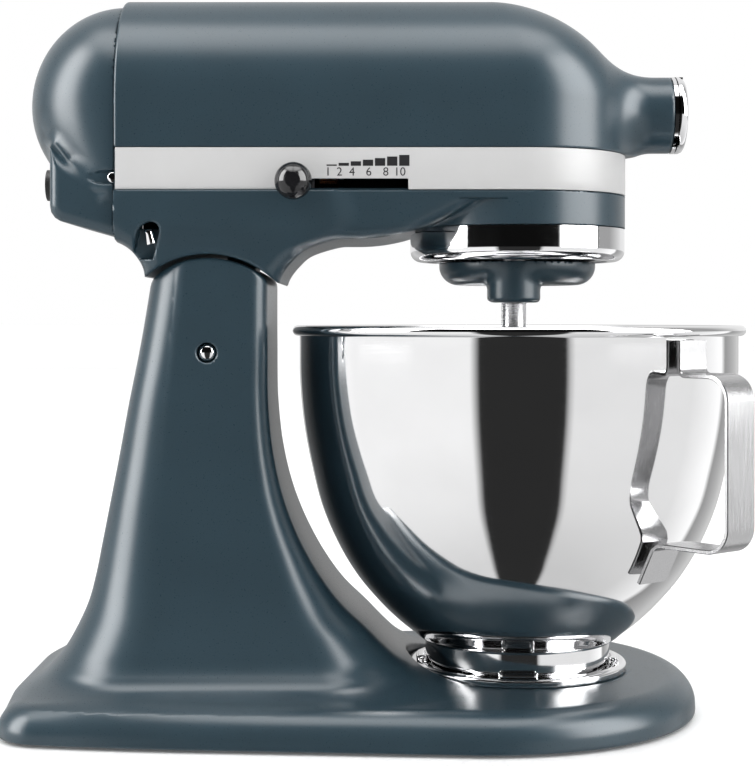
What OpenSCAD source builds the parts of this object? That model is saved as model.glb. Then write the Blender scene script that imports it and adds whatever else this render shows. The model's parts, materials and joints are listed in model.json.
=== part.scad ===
// Tilt-head stand mixer with a planetary drive, a twist-lock bowl and an accessory hub.
// +X is the front, +Z is up, and the origin is the centre of the footprint on the counter.

/* [Overall] */
// Distance from the footprint's centre forward to the bowl axis
bowl_x = 66.25; // [60:0.25:75]
// Highest point of the head above the counter
head_top = 352.3; // [340:0.1:400]

/* [Head] */
// Half the width of the motor head
head_r = 53.7; // [50:0.1:62]
// Distance from the bowl axis back to the rear cover seam
seam_back = 194.5; // [190:0.5:215]
// Length of the rear cover behind the seam
rear_len = 48; // [40:1:58]
// Casting thickness of the head housings
head_wall = 3.5; // [2.5:0.1:4]
// Height of the underside of the gearcase
case_floor = 231; // [229:0.5:233]
// Height of the lower edge of the trim band
band_z = 254; // [252:0.5:257]
// Height of the trim band
band_h = 20; // [16:0.5:22]
// Thickness of the trim band sheet
band_t = 1.2; // [0.8:0.1:2]

/* [Hinge] */
// Distance from the bowl axis back to the tilt hinge pin
pin_back = 151; // [147:0.5:155]
// Height of the tilt hinge pin
pin_z = 177; // [172:0.5:180]
// Radius of the tilt hinge pin
pin_r = 4.3; // [3:0.1:6]
// Radius of the round top of the column about the hinge pin
saddle_r = 45.2; // [43:0.1:48]
// Gap between the column top and the head
saddle_gap = 1.6; // [1:0.1:3]
// Half the width of the hinge slot in the column
slot_half = 17; // [14:0.5:22]

/* [Base] */
// Radius of the rounded front of the base
base_r = 110; // [100:1:120]
// Distance from the bowl axis back to the base's arc centre
base_back = 23; // [18:1:28]
// Height of the flat deck under the bowl
deck_z = 19; // [17:0.5:21]
// Wall thickness of the base and column casting
cast_wall = 5; // [4:0.5:7]
// Height the feet stand out below the casting
foot_drop = 1.2; // [0.8:0.1:3]
// Radius of a rubber foot
foot_r = 11; // [8:0.5:13]

/* [Bowl] */
// Largest outer radius of the bowl wall
bowl_r = 108.9; // [90:0.1:115]
// Height of the bowl rim above the counter
bowl_top = 189.8; // [185:0.1:194]
// Sheet thickness of the bowl
bowl_t = 1.2; // [0.8:0.1:2]
// Outer radius of the bowl foot
bowl_foot_r = 46; // [40:0.5:50]
// Gap between the bowl foot and the clamp plate
bowl_gap = 0.6; // [0.3:0.1:1]

/* [Handle] */
// Distance from the bowl axis to the handle's outer face
handle_reach = 138; // [132:0.5:150]
// Width of the handle strap
handle_w = 19; // [14:0.5:24]
// Thickness of the handle strap
handle_t = 2; // [1.5:0.1:3]
// Direction of the handle, turned from the front towards the lever side
handle_angle = 50; // [35:1:90]

/* [Drive] */
// Radius of the beater shaft
beater_r = 6.35; // [5:0.05:7]
// Module of the planetary gears
planet_module = 1.25; // [1.2:0.05:1.3]
// Teeth on the fixed ring gear
ring_teeth = 60; // [56:2:62]
// Teeth on the planet pinion
planet_teeth = 17; // [15:1:19]
// Module of the centre gear and its pinion
spur_module = 1.5; // [1.4:0.05:1.55]
// Teeth on the centre gear
centre_teeth = 48; // [44:1:50]
// Teeth on the worm wheel's pinion
pinion_teeth = 14; // [12:1:15]
// Teeth on the worm wheel
worm_teeth = 28; // [26:1:30]
// Radial running clearance of every shaft in its hole
run_gap = 0.05; // [0.02:0.01:0.1]

/* [Hub] */
// Height of the accessory hub axis
hub_z = 295; // [292:0.5:298]
// Outer radius of the accessory hub
hub_r = 19; // [17:0.5:21]
// Radius of the accessory socket
socket_r = 15; // [13:0.1:15.5]
// Distance from the bowl axis to the front face of the hub casting
hub_front = 76.5; // [72:0.5:82]

/* [Controls] */
// Travel of the speed lever
lever_travel = 50; // [40:1:52]
// Distance from the bowl axis back to the speed lever at rest
lever_back = 109; // [104:1:112]
// Radius of the speed lever's ball
ball_r = 8.75; // [7:0.25:10]

/* [Hidden] */
$fn = 64;

head_axis_z = head_top - head_r;
band_top = band_z + band_h;
rim_r = head_r - band_t - 0.1;
pin_x = -pin_back;
dome_start = -14;
dome_reach = head_r - dome_start;
case_rim_t = 3;

paint = [0.19, 0.26, 0.30];
steel = [0.80, 0.81, 0.82];
dark_steel = [0.45, 0.46, 0.48];
satin = [0.82, 0.82, 0.82];
copper = [0.72, 0.42, 0.22];
black = [0.06, 0.06, 0.06];
rubber = [0.12, 0.12, 0.12];
nylon = [0.9, 0.88, 0.8];
brass = [0.8, 0.65, 0.3];

// ---- shared shapes ----

module at_bowl() translate([bowl_x, 0, 0]) children();

// A rod along X between two stations
module x_rod(r, x0, x1, y = 0, z = 0)
    translate([x0, y, z]) rotate([0, 90, 0]) cylinder(r = r, h = x1 - x0);

// A rod along Y between two stations
module y_rod(r, y0, y1, x = 0, z = 0)
    translate([x, y1, z]) rotate([90, 0, 0]) cylinder(r = r, h = y1 - y0);

// A tube along Z
module tube(ro, ri, z0, z1)
    translate([0, 0, z0]) difference() {
        cylinder(r = ro, h = z1 - z0);
        translate([0, 0, -1]) cylinder(r = ri, h = z1 - z0 + 2);
    }

// A box between two corners
module block(a, b) translate(a) cube([b[0] - a[0], b[1] - a[1], b[2] - a[2]]);

// The head's plan: a half circle at the front and straight sides back to the seam
module head_plan(r, back = seam_back) {
    circle(r = r);
    translate([-back, -r]) square([back, 2 * r]);
}

module head_slab(r, z0, z1, back = seam_back)
    translate([0, 0, z0]) linear_extrude(z1 - z0) head_plan(r, back);

// A machine screw with a slotless domed head along -Z, its seat at the origin
module screw(r, length, head_radius, head_h) {
    translate([0, 0, -length]) cylinder(r = r, h = length, $fn = 24);
    difference() {
        cylinder(r = head_radius, h = head_h, $fn = 32);
        translate([0, 0, head_h * 0.45]) cylinder(r = head_radius * 0.45, h = head_h, $fn = 6);
    }
}

// Point signs and powers that square off an ellipse
function bent(v, p) = sign(v) * pow(abs(v), 2 / p);

// One closed ring in a plane of constant height
function plan_ring(z, xc, front, rear, w, pf, pr, taper, n) = [
    for (i = [0:n - 1])
        let (a = i * 360 / n, c = cos(a), s = sin(a), p = c >= 0 ? pf : pr,
             dx = bent(c, p) * (c >= 0 ? front : rear))
        [xc + dx, bent(s, p) * (w - (c < 0 ? taper * abs(dx) : 0)), z]
];

// One closed ring in a plane of constant X, round above its centre and squarer below
function arch_ring(x, w, zc, up, down, pu, pd, n) = [
    for (i = [0:n - 1])
        let (a = i * 360 / n, c = cos(a), s = sin(a), p = s >= 0 ? pu : pd)
        [x, bent(c, p) * w, zc + bent(s, p) * (s >= 0 ? up : down)]
];

// A closed skin over stacked rings with a second skin inside it, open at the first ring
module cup(outer, inner) {
    n = len(outer[0]);
    mo = len(outer);
    mi = len(inner);
    points = concat([for (r = outer) each r], [for (r = inner) each r]);
    base = mo * n;
    faces = concat(
        [for (i = [0:mo - 2]) for (j = [0:n - 1])
            [i * n + j, (i + 1) * n + j, (i + 1) * n + (j + 1) % n, i * n + (j + 1) % n]],
        [for (i = [0:mi - 2]) for (j = [0:n - 1])
            [base + i * n + j, base + i * n + (j + 1) % n,
             base + (i + 1) * n + (j + 1) % n, base + (i + 1) * n + j]],
        [for (j = [0:n - 1]) [j, (j + 1) % n, base + (j + 1) % n, base + j]],
        [[for (j = [n - 1:-1:0]) (mo - 1) * n + j]],
        [[for (j = [0:n - 1]) base + (mi - 1) * n + j]]
    );
    polyhedron(points, faces, convexity = 6);
}

// A closed skin over U-shaped rings with a second skin inside it, open at the bottom and the rear
module hood(outer, inner) {
    n = len(outer[0]);
    m = len(outer);
    base = m * n;
    top = (m - 1) * n;
    faces = concat(
        [for (i = [0:m - 2]) for (j = [0:n - 2])
            [i * n + j, (i + 1) * n + j, (i + 1) * n + j + 1, i * n + j + 1]],
        [for (i = [0:m - 2]) for (j = [0:n - 2])
            [base + i * n + j, base + i * n + j + 1,
             base + (i + 1) * n + j + 1, base + (i + 1) * n + j]],
        [for (j = [0:n - 2]) [j, j + 1, base + j + 1, base + j]],
        [for (i = [0:m - 2]) [i * n, base + i * n, base + (i + 1) * n, (i + 1) * n]],
        [for (i = [0:m - 2])
            [i * n + n - 1, (i + 1) * n + n - 1, base + (i + 1) * n + n - 1, base + i * n + n - 1]],
        [[for (j = [n - 1:-1:0]) top + j]],
        [[for (j = [0:n - 1]) base + top + j]],
        [[top, base + top, base + top + n - 1, top + n - 1]]
    );
    polyhedron(concat([for (r = outer) each r], [for (r = inner) each r]), faces, convexity = 6);
}

// ---- gears ----

pressure_angle = 20;
tooth_play = 0.12;

// Polar angle of the involute at radius r from a base circle rb, in degrees
function involute(r, rb) = r <= rb ? 0 : sqrt(r * r / (rb * rb) - 1) * 180 / PI - acos(rb / r);

// A spur gear outline; play thins each tooth, and a negative play cuts a ring's spaces wider
module gear_2d(teeth, m, add, ded, play) {
    rp = teeth * m / 2;
    rb = rp * cos(pressure_angle);
    r0 = rp - ded * m;
    r1 = rp + add * m;
    half = 90 / teeth + involute(rp, rb) - play * 90 / (PI * rp);
    polygon([
        for (t = [0:teeth - 1]) each concat(
            [for (k = [0:4]) let (r = r0 + (r1 - r0) * k / 4, a = t * 360 / teeth - half + involute(r, rb))
                [r * cos(a), r * sin(a)]],
            [for (k = [4:-1:0]) let (r = r0 + (r1 - r0) * k / 4, a = t * 360 / teeth + half - involute(r, rb))
                [r * cos(a), r * sin(a)]])
    ]);
}

module spur(teeth, m, z0, z1, bore)
    translate([0, 0, z0]) linear_extrude(z1 - z0) difference() {
        gear_2d(teeth, m, 0.8, 1.1, tooth_play);
        circle(r = bore);
    }

planet_orbit = (ring_teeth - planet_teeth) * planet_module / 2;
ring_z0 = 222;
ring_z1 = case_floor;
planet_angle = -98;

spur_distance = (centre_teeth + pinion_teeth) * spur_module / 2;
wheel_y = 24;
wheel_x = -sqrt(spur_distance * spur_distance - wheel_y * wheel_y);
spur_z0 = 243;
spur_z1 = 251;
// The pinion's turn that puts one of its spaces on the line to a centre gear tooth
mesh_angle = atan2(wheel_y, wheel_x);
centre_phase = mesh_angle % (360 / centre_teeth);
pinion_phase = mesh_angle + 180 + 180 / pinion_teeth;

motor_z = case_floor + 66;
worm_z = motor_z;
worm_r = 7.2;
wheel_r = wheel_y - worm_r - 0.5;
worm_x0 = wheel_x - 14;
worm_x1 = wheel_x + 13;
shaft_r = 4;
centre_shaft_r = 6;
bevel_r = 16;
bevel_h = 7;
bevel_gap = 0.5;

// ---- base and column ----

foot_top = 8;
base_rear = 222;
base_taper = 0.072;
ring_points = 40;

// Level, front and rear reach from the arc centre, half width, front and rear squareness
column_levels = [
    [foot_drop, 110, base_rear, base_r - 1, 2, 6],
    [13.5, 110, base_rear, base_r - 1, 2, 6],
    [16.5, 107.5, base_rear - 2.5, base_r - 3.5, 2, 6],
    [18.2, 101, base_rear - 6, base_r - 8, 2, 6],
    [deck_z, 92, base_rear - 9, base_r - 13, 2, 6]
];
// Level, rear face, front face, half width, front squareness
skirt_levels = [
    [deck_z, -232.5, -24, 76, 2.3],
    [22, -230, -44, 74.5, 2.5],
    [28.5, -225.5, -58, 73.5, 2.8],
    [36, -219.5, -65, 70.5, 3],
    [45, -214.5, -73.5, 67, 3.2],
    [56.5, -210, -87, 63, 3.5],
    [70.5, -206.5, -97.5, 59.5, 4],
    [84.5, -203.5, -105.5, 57, 4.5],
    [105, -200, -114, 54, 5],
    [126.5, -196.5, -119.3, 51.5, 5.5],
    [150, -192.5, -122, 49.7, 6],
    [180, -187.5, -122.5, 48.4, 6],
    [pin_z + saddle_r + 2, -182, -122.5, 47, 6]
];
solid_above = pin_z - 20;

function base_outline(l, t, drop) =
    plan_ring(l[0] - drop, -base_back, l[1] - t, l[2] - t, l[3] - t, l[4], l[5], base_taper, ring_points);
function skirt_outline(l, t, drop) =
    let (mid = (l[1] + l[2]) / 2 - 4, front = l[2] - mid, rear = mid - l[1])
    plan_ring(l[0] - drop, mid, front - t, rear - t, l[3] - t, l[4], 3.2, 0, ring_points);

module column_casting() {
    outer = concat([for (l = column_levels) base_outline(l, 0, 0)],
                   [for (l = skirt_levels) skirt_outline(l, 0, 0)]);
    inner = concat([for (l = column_levels) base_outline(l, cast_wall, l[0] > foot_drop ? cast_wall : 0)],
                   [for (l = skirt_levels) if (l[0] < solid_above) skirt_outline(l, cast_wall, cast_wall)]);
    cup(outer, inner);
}

foot_spots = [[52, 0], [-20, 78], [-20, -78], [-205, 58], [-205, -58]];
clamp_screw_r = 2;
clamp_screw_ring = bowl_foot_r - 10;
clamp_screw_count = 5;
height_screw_x = pin_x + 10;
height_screw_r = 3;
set_screw_r = 1.6;

module base_column() color(paint) at_bowl() difference() {
    union() {
        intersection() {
            column_casting();
            union() {
                block([-300, -150, 0], [150, 150, pin_z + 20]);
                y_rod(saddle_r, -100, 100, pin_x, pin_z, $fn = 96);
            }
        }
        for (p = foot_spots) translate([p[0], p[1], foot_top]) cylinder(r = foot_r + 2, h = deck_z - 2.5 - foot_top);
    }
    y_rod(pin_r + run_gap, -60, 60, pin_x, pin_z);
    block([pin_x - 30, -slot_half, pin_z - 17], [pin_x + 25, slot_half, 300]);
    for (p = foot_spots) translate([p[0], p[1], foot_top - 5]) cylinder(r = 2, h = 10, $fn = 24);
    for (k = [0:clamp_screw_count - 1]) rotate(k * 360 / clamp_screw_count + 36)
        translate([clamp_screw_ring, 0, deck_z - 8]) cylinder(r = clamp_screw_r, h = 20, $fn = 24);
    translate([0, 0, deck_z]) cylinder(r = clamp_r + 1.2, h = 20);
    y_rod(set_screw_r, slot_half, 60, pin_x - 12, pin_z + 10, $fn = 24);
    translate([height_screw_x, 0, solid_above - 6]) cylinder(r = height_screw_r, h = 20);
}

module base_feet() color(rubber) at_bowl() for (p = foot_spots) translate([p[0], p[1], 0]) {
    cylinder(r1 = foot_r - 1, r2 = foot_r, h = foot_top);
    translate([0, 0, foot_top]) cylinder(r = 2, h = 4, $fn = 24);
}

clamp_r = 54.4;
clamp_h = 4;
clamp_floor_t = 1.4;
clamp_floor_top = deck_z + clamp_floor_t;
lug_h = 1.6;
lug_out = 2.2;
lug_angle = 22;
lug_count = 4;
foot_z0 = clamp_floor_top + bowl_gap;
lip_z = foot_z0 + lug_h + bowl_gap;
lip_h = 2.2;
clip_r = bowl_foot_r + bowl_gap;
clip_wall_r = clip_r + lug_out + bowl_gap;

// A piece of a ring between two angles less than a right angle apart
module ring_piece(ro, ri, z0, z1, a0, a1) intersection() {
    tube(ro, ri, z0, z1);
    translate([0, 0, z0 - 1]) linear_extrude(z1 - z0 + 2)
        polygon([[0, 0], for (a = [a0, a1]) 2 * ro * [cos(a), sin(a)]]);
}

module bowl_clamp_plate() color(steel) at_bowl() {
    difference() {
        union() {
            tube(clamp_r, 26, deck_z, clamp_floor_top);
            tube(clamp_r, clip_wall_r, deck_z, deck_z + clamp_h);
        }
        for (k = [0:clamp_screw_count - 1]) rotate(k * 360 / clamp_screw_count + 36)
            translate([clamp_screw_ring, 0, 0]) cylinder(r = clamp_screw_r + 0.2, h = 60, $fn = 24);
    }
    for (k = [0:lug_count - 1]) rotate(-105 + k * 360 / lug_count) {
        ring_piece(clip_wall_r + 1.4, clip_r, lip_z, lip_z + lip_h, 0, lug_angle);
        ring_piece(clip_wall_r + 1.4, clip_wall_r + 0.3, deck_z + 2, lip_z + 1, 0.5, lug_angle - 0.5);
    }
}

module clamp_plate_screws() color(steel) at_bowl()
    for (k = [0:clamp_screw_count - 1]) rotate(k * 360 / clamp_screw_count + 36)
        translate([clamp_screw_ring, 0, clamp_floor_top]) screw(clamp_screw_r, 7, 3.8, 0.5 * clamp_floor_t + 1);

module hinge_pin() color(steel) at_bowl() {
    y_rod(pin_r, -47.2, 47.2, pin_x, pin_z);
}

module hinge_set_screw() color(dark_steel) at_bowl()
    y_rod(set_screw_r, slot_half + 1, slot_half + 14, pin_x - 12, pin_z + 10, $fn = 24);

// The stop screw that sets the bowl-to-beater height, in the front lip of the column slot
module height_screw() color(dark_steel) at_bowl()
    translate([height_screw_x, 0, solid_above - 4]) {
        cylinder(r = height_screw_r, h = 8);
        translate([0, 0, 7.3]) cylinder(r = 5, h = 2.6, $fn = 6);
    }

// ---- head ----

head_levels = [-1, 0, 0.16, 0.32, 0.47, 0.6, 0.72, 0.82, 0.9, 0.955, 0.985, 0.999];

// One U-shaped ring of the head at a share of the arch height, inset by t
function head_ring(s, t) =
    let (u = max(s, 0), r = head_r - t, w = r * sqrt(1 - u * u),
         front = dome_start + dome_reach * pow(1 - pow(u, 1.8), 0.55) - t,
         start = dome_start * u, z = s < 0 ? band_top : head_axis_z + r * u)
    concat([[-seam_back, -w, z]],
           [for (a = [-90:9:90]) [start + (front - start) * cos(a), w * sin(a), z]],
           [[-seam_back, w, z]]);

hub_root = 28;
socket_step = 52;
bushing_r = 14.2;
knob_x = hub_front - 10;
knob_r = 3;

module upper_housing() color(paint) at_bowl() difference() {
    union() {
        hood([for (s = head_levels) head_ring(s, 0)], [for (s = head_levels) head_ring(s, head_wall)]);
        x_rod(hub_r, hub_root, hub_front, 0, hub_z);
    }
    x_rod(bushing_r, 20, hub_front, 0, hub_z);
    x_rod(socket_r, socket_step, hub_front + 1, 0, hub_z);
    y_rod(knob_r + run_gap, 0, hub_r + 4, knob_x, hub_z, $fn = 32);
}

cover_step = 2.5;
cover_r = head_r - cover_step;
cover_foot = 232;
// Distance behind the seam, half width, reach above and below the head's axis
cover_stations = [
    [0, 1, 1, head_axis_z - cover_foot],
    [12, 0.985, 0.97, head_axis_z - 236.5],
    [22, 0.95, 0.895, head_axis_z - 241],
    [31, 0.89, 0.78, head_axis_z - 245.5],
    [37, 0.82, 0.665, head_axis_z - 248.5],
    [40, 0.77, 0.58, head_axis_z - 252],
    [42.5, 0.70, 0.5, head_axis_z - 262],
    [45.5, 0.56, 0.35, head_axis_z - 275],
    [48, 0.2, 0.12, head_axis_z - 292]
];

function cover_ring(c, t) =
    arch_ring(-seam_back - c[0] * rear_len / 48 + (c[0] > 0 ? t : 0), cover_r * c[1] - t, head_axis_z,
              cover_r * c[2] - t, c[3] - t, 2, 4, 40);

screw_x = -seam_back - 0.5;
screw_z = band_z + 5.8;
screw_seat = cover_r + 0.05;
screw_r = 1.2;
screw_len = 3.2;
screw_head_r = 2.7;
screw_head_h = 1;

// Hole and head recess of the screw that ties the cover and the lower casting at the seam
module band_screw_hole(side) {
    y_rod(screw_r + run_gap, side > 0 ? screw_seat - 6 : -screw_seat - 1,
          side > 0 ? screw_seat + 1 : 6 - screw_seat, screw_x, screw_z, $fn = 32);
    y_rod(screw_head_r + 0.3, side > 0 ? screw_seat - 0.05 : -head_r - 1,
          side > 0 ? head_r + 1 : 0.05 - screw_seat, screw_x, screw_z, $fn = 32);
}

gland_r = 8;
gland_y = 26;
gland_z = 262;

cover_screw_x = -seam_back - rear_len + 5;

module rear_cover() color(paint) at_bowl() difference() {
    cup([for (c = cover_stations) cover_ring(c, 0)],
        [for (c = cover_stations) if (c[0] < 47) cover_ring(c, head_wall)]);
    x_rod(gland_r, -seam_back - 60, -seam_back - 20, gland_y, gland_z, $fn = 32);
    x_rod(2.4, -260, -seam_back - 20, 0, 312, $fn = 32);
    x_rod(4.7, -260, cover_screw_x, 0, 312, $fn = 32);
    for (side = [-1, 1]) band_screw_hole(side);
}

module rear_cover_screw() color(steel) at_bowl()
    translate([cover_screw_x - 0.05, 0, 312]) rotate([0, -90, 0]) screw(2.3, 20, 4.2, 2);

tongue_angle = 72;
tongue_w = 15;
boss_r = 12;
tongue_half = slot_half - 1;
ring_shoulder = 237.6;
wheel_shaft_z0 = ring_shoulder + 0.6;
slot_z = 257;
slot_h = 4.4;

module lower_profile() polygon([
    [-seam_back + 2, case_floor + 4], [-seam_back + 2, case_floor + 2], [pin_x - 34, pin_z + 30],
    [pin_x + 33, pin_z + 30], [pin_x + 33, pin_z + 39], [pin_x + 39, pin_z + 46],
    [pin_x + 46, pin_z + 51], [pin_x + 60, case_floor], [pin_x + 60, case_floor + 4]
]);

nose_back = -45;
lock_x = -140;
lock_z = 242;

module gearcase_lower() color(paint) at_bowl() difference() {
    union() {
        difference() {
            union() {
                head_slab(head_r - 3, case_floor, case_floor + 3);
                head_slab(head_r, case_floor + 3, band_z);
                head_slab(rim_r, band_z - 1, band_top);
            }
            difference() {
                head_slab(rim_r - case_rim_t, case_floor + 4, band_top + 1, seam_back + 1);
                block([-seam_back - 1, -60, 0], [-seam_back + 4, 60, band_z - 2]);
            }
            tube(drip_r + 0.3, head_r - 4, case_floor - 1, ring_shoulder);
            difference() {
                block([nose_back, -60, case_floor - 1], [60, 60, ring_shoulder]);
                cylinder(r = head_r - 4, h = ring_shoulder + 1);
            }
        }
        tube(head_r - 3.8, centre_shaft_r + 4, case_floor, ring_shoulder + 4);
        difference() {
            translate([0, 46, 0]) rotate([90, 0, 0]) linear_extrude(92) lower_profile();
            y_rod(saddle_r + saddle_gap, -60, 60, pin_x, pin_z, $fn = 96);
        }
        translate([pin_x, 0, pin_z]) rotate([0, -tongue_angle, 0])
            block([2, 0.5 - tongue_half, -tongue_w / 2], [saddle_r + 12, tongue_half - 0.5, tongue_w / 2]);
        y_rod(boss_r, -tongue_half, tongue_half, pin_x, pin_z);
    }
    y_rod(pin_r + run_gap, -60, 60, pin_x, pin_z);
    translate([0, 0, case_floor - 5]) cylinder(r = centre_shaft_r + 4, h = 22);
    block([-lever_back - 4.5, -60, slot_z - slot_h / 2],
          [-lever_back + lever_travel + 4.5, -30, slot_z + slot_h / 2]);
    y_rod(4 + run_gap, 30, head_r + 6.3, lock_x, lock_z, $fn = 32);
    translate([wheel_x, wheel_y, wheel_shaft_z0 - 0.2]) cylinder(r = shaft_r + run_gap, h = 8, $fn = 32);
    for (side = [-1, 1]) band_screw_hole(side);
}

module trim_band() color(satin) at_bowl() difference() {
    head_slab(head_r, band_z, band_top, seam_back - 1);
    head_slab(head_r - band_t, band_z - 1, band_top + 1, seam_back + 1);
    block([-lever_back - 3.5, -60, band_z + 0.8],
          [-lever_back + lever_travel + 3.5, -30, slot_z + slot_h / 2]);
}

module band_screws() color(steel) at_bowl() for (side = [-1, 1])
    translate([screw_x, side * screw_seat, screw_z]) rotate([side * -90, 0, 0])
        screw(screw_r, screw_len, screw_head_r, screw_head_h);

scale_bars = 7;
scale_x0 = -94;
scale_pitch = 5.7;

module speed_scale() color(black) at_bowl() for (k = [0:scale_bars - 1])
    block([scale_x0 + k * scale_pitch, -head_r - 0.15, 265.1],
          [scale_x0 + (k + 0.85) * scale_pitch, -head_r, 265.6 + k * 0.75]);

ring_wall = 3.2;
ring_round = 5.5;
drip_r = head_r - 0.2;
drip_z = 221.5;
drip_h = ring_shoulder - 0.1 - drip_z;

module drip_ring() color(steel) at_bowl() translate([0, 0, drip_z]) rotate_extrude($fn = 96) polygon(concat(
    [[drip_r - ring_round - 2, 0]],
    [for (a = [-90:15:0]) [drip_r - ring_round + ring_round * cos(a), ring_round + ring_round * sin(a)]],
    [[drip_r, drip_h], [drip_r - ring_wall, drip_h], [drip_r - ring_wall, ring_round],
     [drip_r - ring_round - 2, ring_round]]));

module ring_gear() color(dark_steel) at_bowl() translate([0, 0, ring_z0]) linear_extrude(ring_z1 - ring_z0)
    difference() {
        circle(r = drip_r - ring_round - 3, $fn = 96);
        rotate(planet_angle)
            gear_2d(ring_teeth, planet_module, 1.1, 0.8, -tooth_play);
    }

module shaft_bush() color(brass) at_bowl()
    tube(centre_shaft_r + 3.9, centre_shaft_r + run_gap, case_floor - 0.5, ring_shoulder + 1.9);

flap_r = hub_r + 0.2;
trim_t = 1.8;
cover_pin_x = hub_front + trim_t + 2.1;
cover_pin_z = hub_z + hub_r - 2.8;
cover_pin_r = 0.7;
hinge_lug = 4;

module hub_trim_ring() color(steel) at_bowl() difference() {
    union() {
        x_rod(flap_r, hub_front, hub_front + trim_t, 0, hub_z);
        intersection() {
            x_rod(flap_r, hub_front, cover_pin_x + 2.2, 0, hub_z);
            block([hub_front, -hinge_lug, cover_pin_z - 2.2], [hub_front + 20, hinge_lug, hub_z + 2 * hub_r]);
        }
    }
    x_rod(socket_r + 0.4, hub_front - 1, hub_front + 20, 0, hub_z);
    y_rod(cover_pin_r, -9, 9, cover_pin_x, cover_pin_z, $fn = 24);
}

module hub_hinge_pin() color(steel) at_bowl() y_rod(cover_pin_r, -7.5, 7.5, cover_pin_x, cover_pin_z, $fn = 24);

// ---- motor ----

rear_bearing_x = -180;
front_bearing_x = -70;
bearing_r = 9;
bearing_w = 6;
field_x0 = -140;
field_x1 = -98;
field_r = head_r - head_wall - 0.4;
core_r = 24;
commutator_r = 13;
commutator_x = -166;

module armature_bearings() color(steel) at_bowl() for (x = [rear_bearing_x, front_bearing_x]) difference() {
    x_rod(bearing_r, x, x + bearing_w, 0, motor_z);
    x_rod(shaft_r + run_gap, x - 1, x + bearing_w + 1, 0, motor_z);
}

module bearing_brackets() color(dark_steel) at_bowl() for (x = [rear_bearing_x, front_bearing_x]) difference() {
    intersection() {
        block([x, -head_r, band_top + 2], [x + bearing_w, head_r, motor_z + 16]);
        x_rod(field_r, x, x + bearing_w, 0, head_axis_z);
    }
    x_rod(bearing_r, x - 1, x + bearing_w + 1, 0, motor_z);
}

module field_core() color(dark_steel) at_bowl() difference() {
    x_rod(field_r, field_x0, field_x1, 0, motor_z);
    x_rod(core_r + 1, field_x0 - 1, field_x1 + 1, 0, motor_z);
    for (side = [-1, 1]) block([field_x0 - 1, -18, motor_z + side * 33 - 5], [field_x1 + 1, 18, motor_z + side * 33 + 5]);
    for (side = [-1, 1]) block([field_x0 - 1, side * 44 - 6, motor_z - 30], [field_x1 + 1, side * 44 + 6, motor_z + 30]);
}

module field_coils() color(copper) at_bowl() for (side = [-1, 1])
    difference() {
        block([field_x0 - 8, -17.5, motor_z + side * 33 - 4.5], [field_x1 + 8, 17.5, motor_z + side * 33 + 4.5]);
        block([field_x0 - 0.3, -9, motor_z + side * 33 - 6], [field_x1 + 0.3, 9, motor_z + side * 33 + 6]);
    }

brush_x = commutator_x + 5;

module brush_holders() color(brass) at_bowl() for (side = [-1, 1]) difference() {
    block([brush_x - 6, side > 0 ? 16 : -40, motor_z - 5], [brush_x + 6, side > 0 ? 40 : -16, motor_z + 5]);
    block([brush_x - 4, side > 0 ? 10 : -42, motor_z - 3], [brush_x + 4, side > 0 ? 42 : -10, motor_z + 3]);
}

module brushes() color(rubber) at_bowl() for (side = [-1, 1]) {
    block([brush_x - 3.8, side > 0 ? 13.4 : -30, motor_z - 2.8], [brush_x + 3.8, side > 0 ? 30 : -13.4, motor_z + 2.8]);
}

module brush_caps() color(black) at_bowl() for (side = [-1, 1])
    y_rod(7, side > 0 ? 40 : -43, side > 0 ? 43 : -40, brush_x, motor_z);

module armature_shaft() color(steel) at_bowl() x_rod(shaft_r, -190, worm_x1 + 2, 0, motor_z);

module armature_core() color(dark_steel) at_bowl() difference() {
    x_rod(core_r, field_x0 + 1, field_x1 - 1, 0, motor_z);
    x_rod(shaft_r, field_x0, field_x1, 0, motor_z);
    for (k = [0:11]) translate([0, 0, motor_z]) rotate([k * 30, 0, 0])
        block([field_x0, -1, core_r - 3], [field_x1, 1, core_r + 1]);
}

module commutator() color(copper) at_bowl() difference() {
    x_rod(commutator_r, commutator_x - 4, commutator_x + 14, 0, motor_z);
    x_rod(shaft_r, commutator_x - 5, commutator_x + 15, 0, motor_z);
}

module cooling_fan() color(nylon) at_bowl() difference() {
    union() {
        x_rod(8, -89, -80, 0, motor_z);
        x_rod(34, -89, -87, 0, motor_z);
        for (k = [0:8]) translate([0, 0, motor_z]) rotate([k * 40, 0, 0]) block([-88, -0.8, 7], [-80, 0.8, 33]);
    }
    x_rod(shaft_r, -95, -75, 0, motor_z);
}

thread_count = 6;

module motor_worm() color(steel) at_bowl() difference() {
    union() {
        x_rod(worm_r - 1.6, worm_x0, worm_x1, 0, motor_z);
        for (k = [0:thread_count - 1]) translate([worm_x0 + 2 + k * 4, 0, motor_z]) rotate([0, 90, 0])
            cylinder(r = worm_r, h = 1.8);
    }
    x_rod(shaft_r, worm_x0 - 1, worm_x1 + 1, 0, motor_z);
}

// ---- worm wheel shaft ----

module at_wheel() at_bowl() translate([wheel_x, wheel_y, 0]) children();

module worm_wheel() color(nylon) at_wheel() translate([0, 0, worm_z - 5]) linear_extrude(10) difference() {
    gear_2d(worm_teeth, 2 * wheel_r / (worm_teeth + 1.6), 0.8, 1.1, tooth_play);
    circle(r = shaft_r);
}

module wheel_pinion() color(steel) at_wheel() rotate(pinion_phase)
    spur(pinion_teeth, spur_module, spur_z0, spur_z1, shaft_r);

module wheel_shaft() color(steel) at_wheel() translate([0, 0, wheel_shaft_z0])
    cylinder(r = shaft_r, h = worm_z + 9 - wheel_shaft_z0);

module wheel_bracket() color(dark_steel) at_wheel() difference() {
    block([-10, -10, worm_z + 6], [10, head_r - head_wall - 2 - wheel_y, worm_z + 11]);
    translate([0, 0, worm_z]) cylinder(r = shaft_r + run_gap, h = 20);
}

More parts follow.
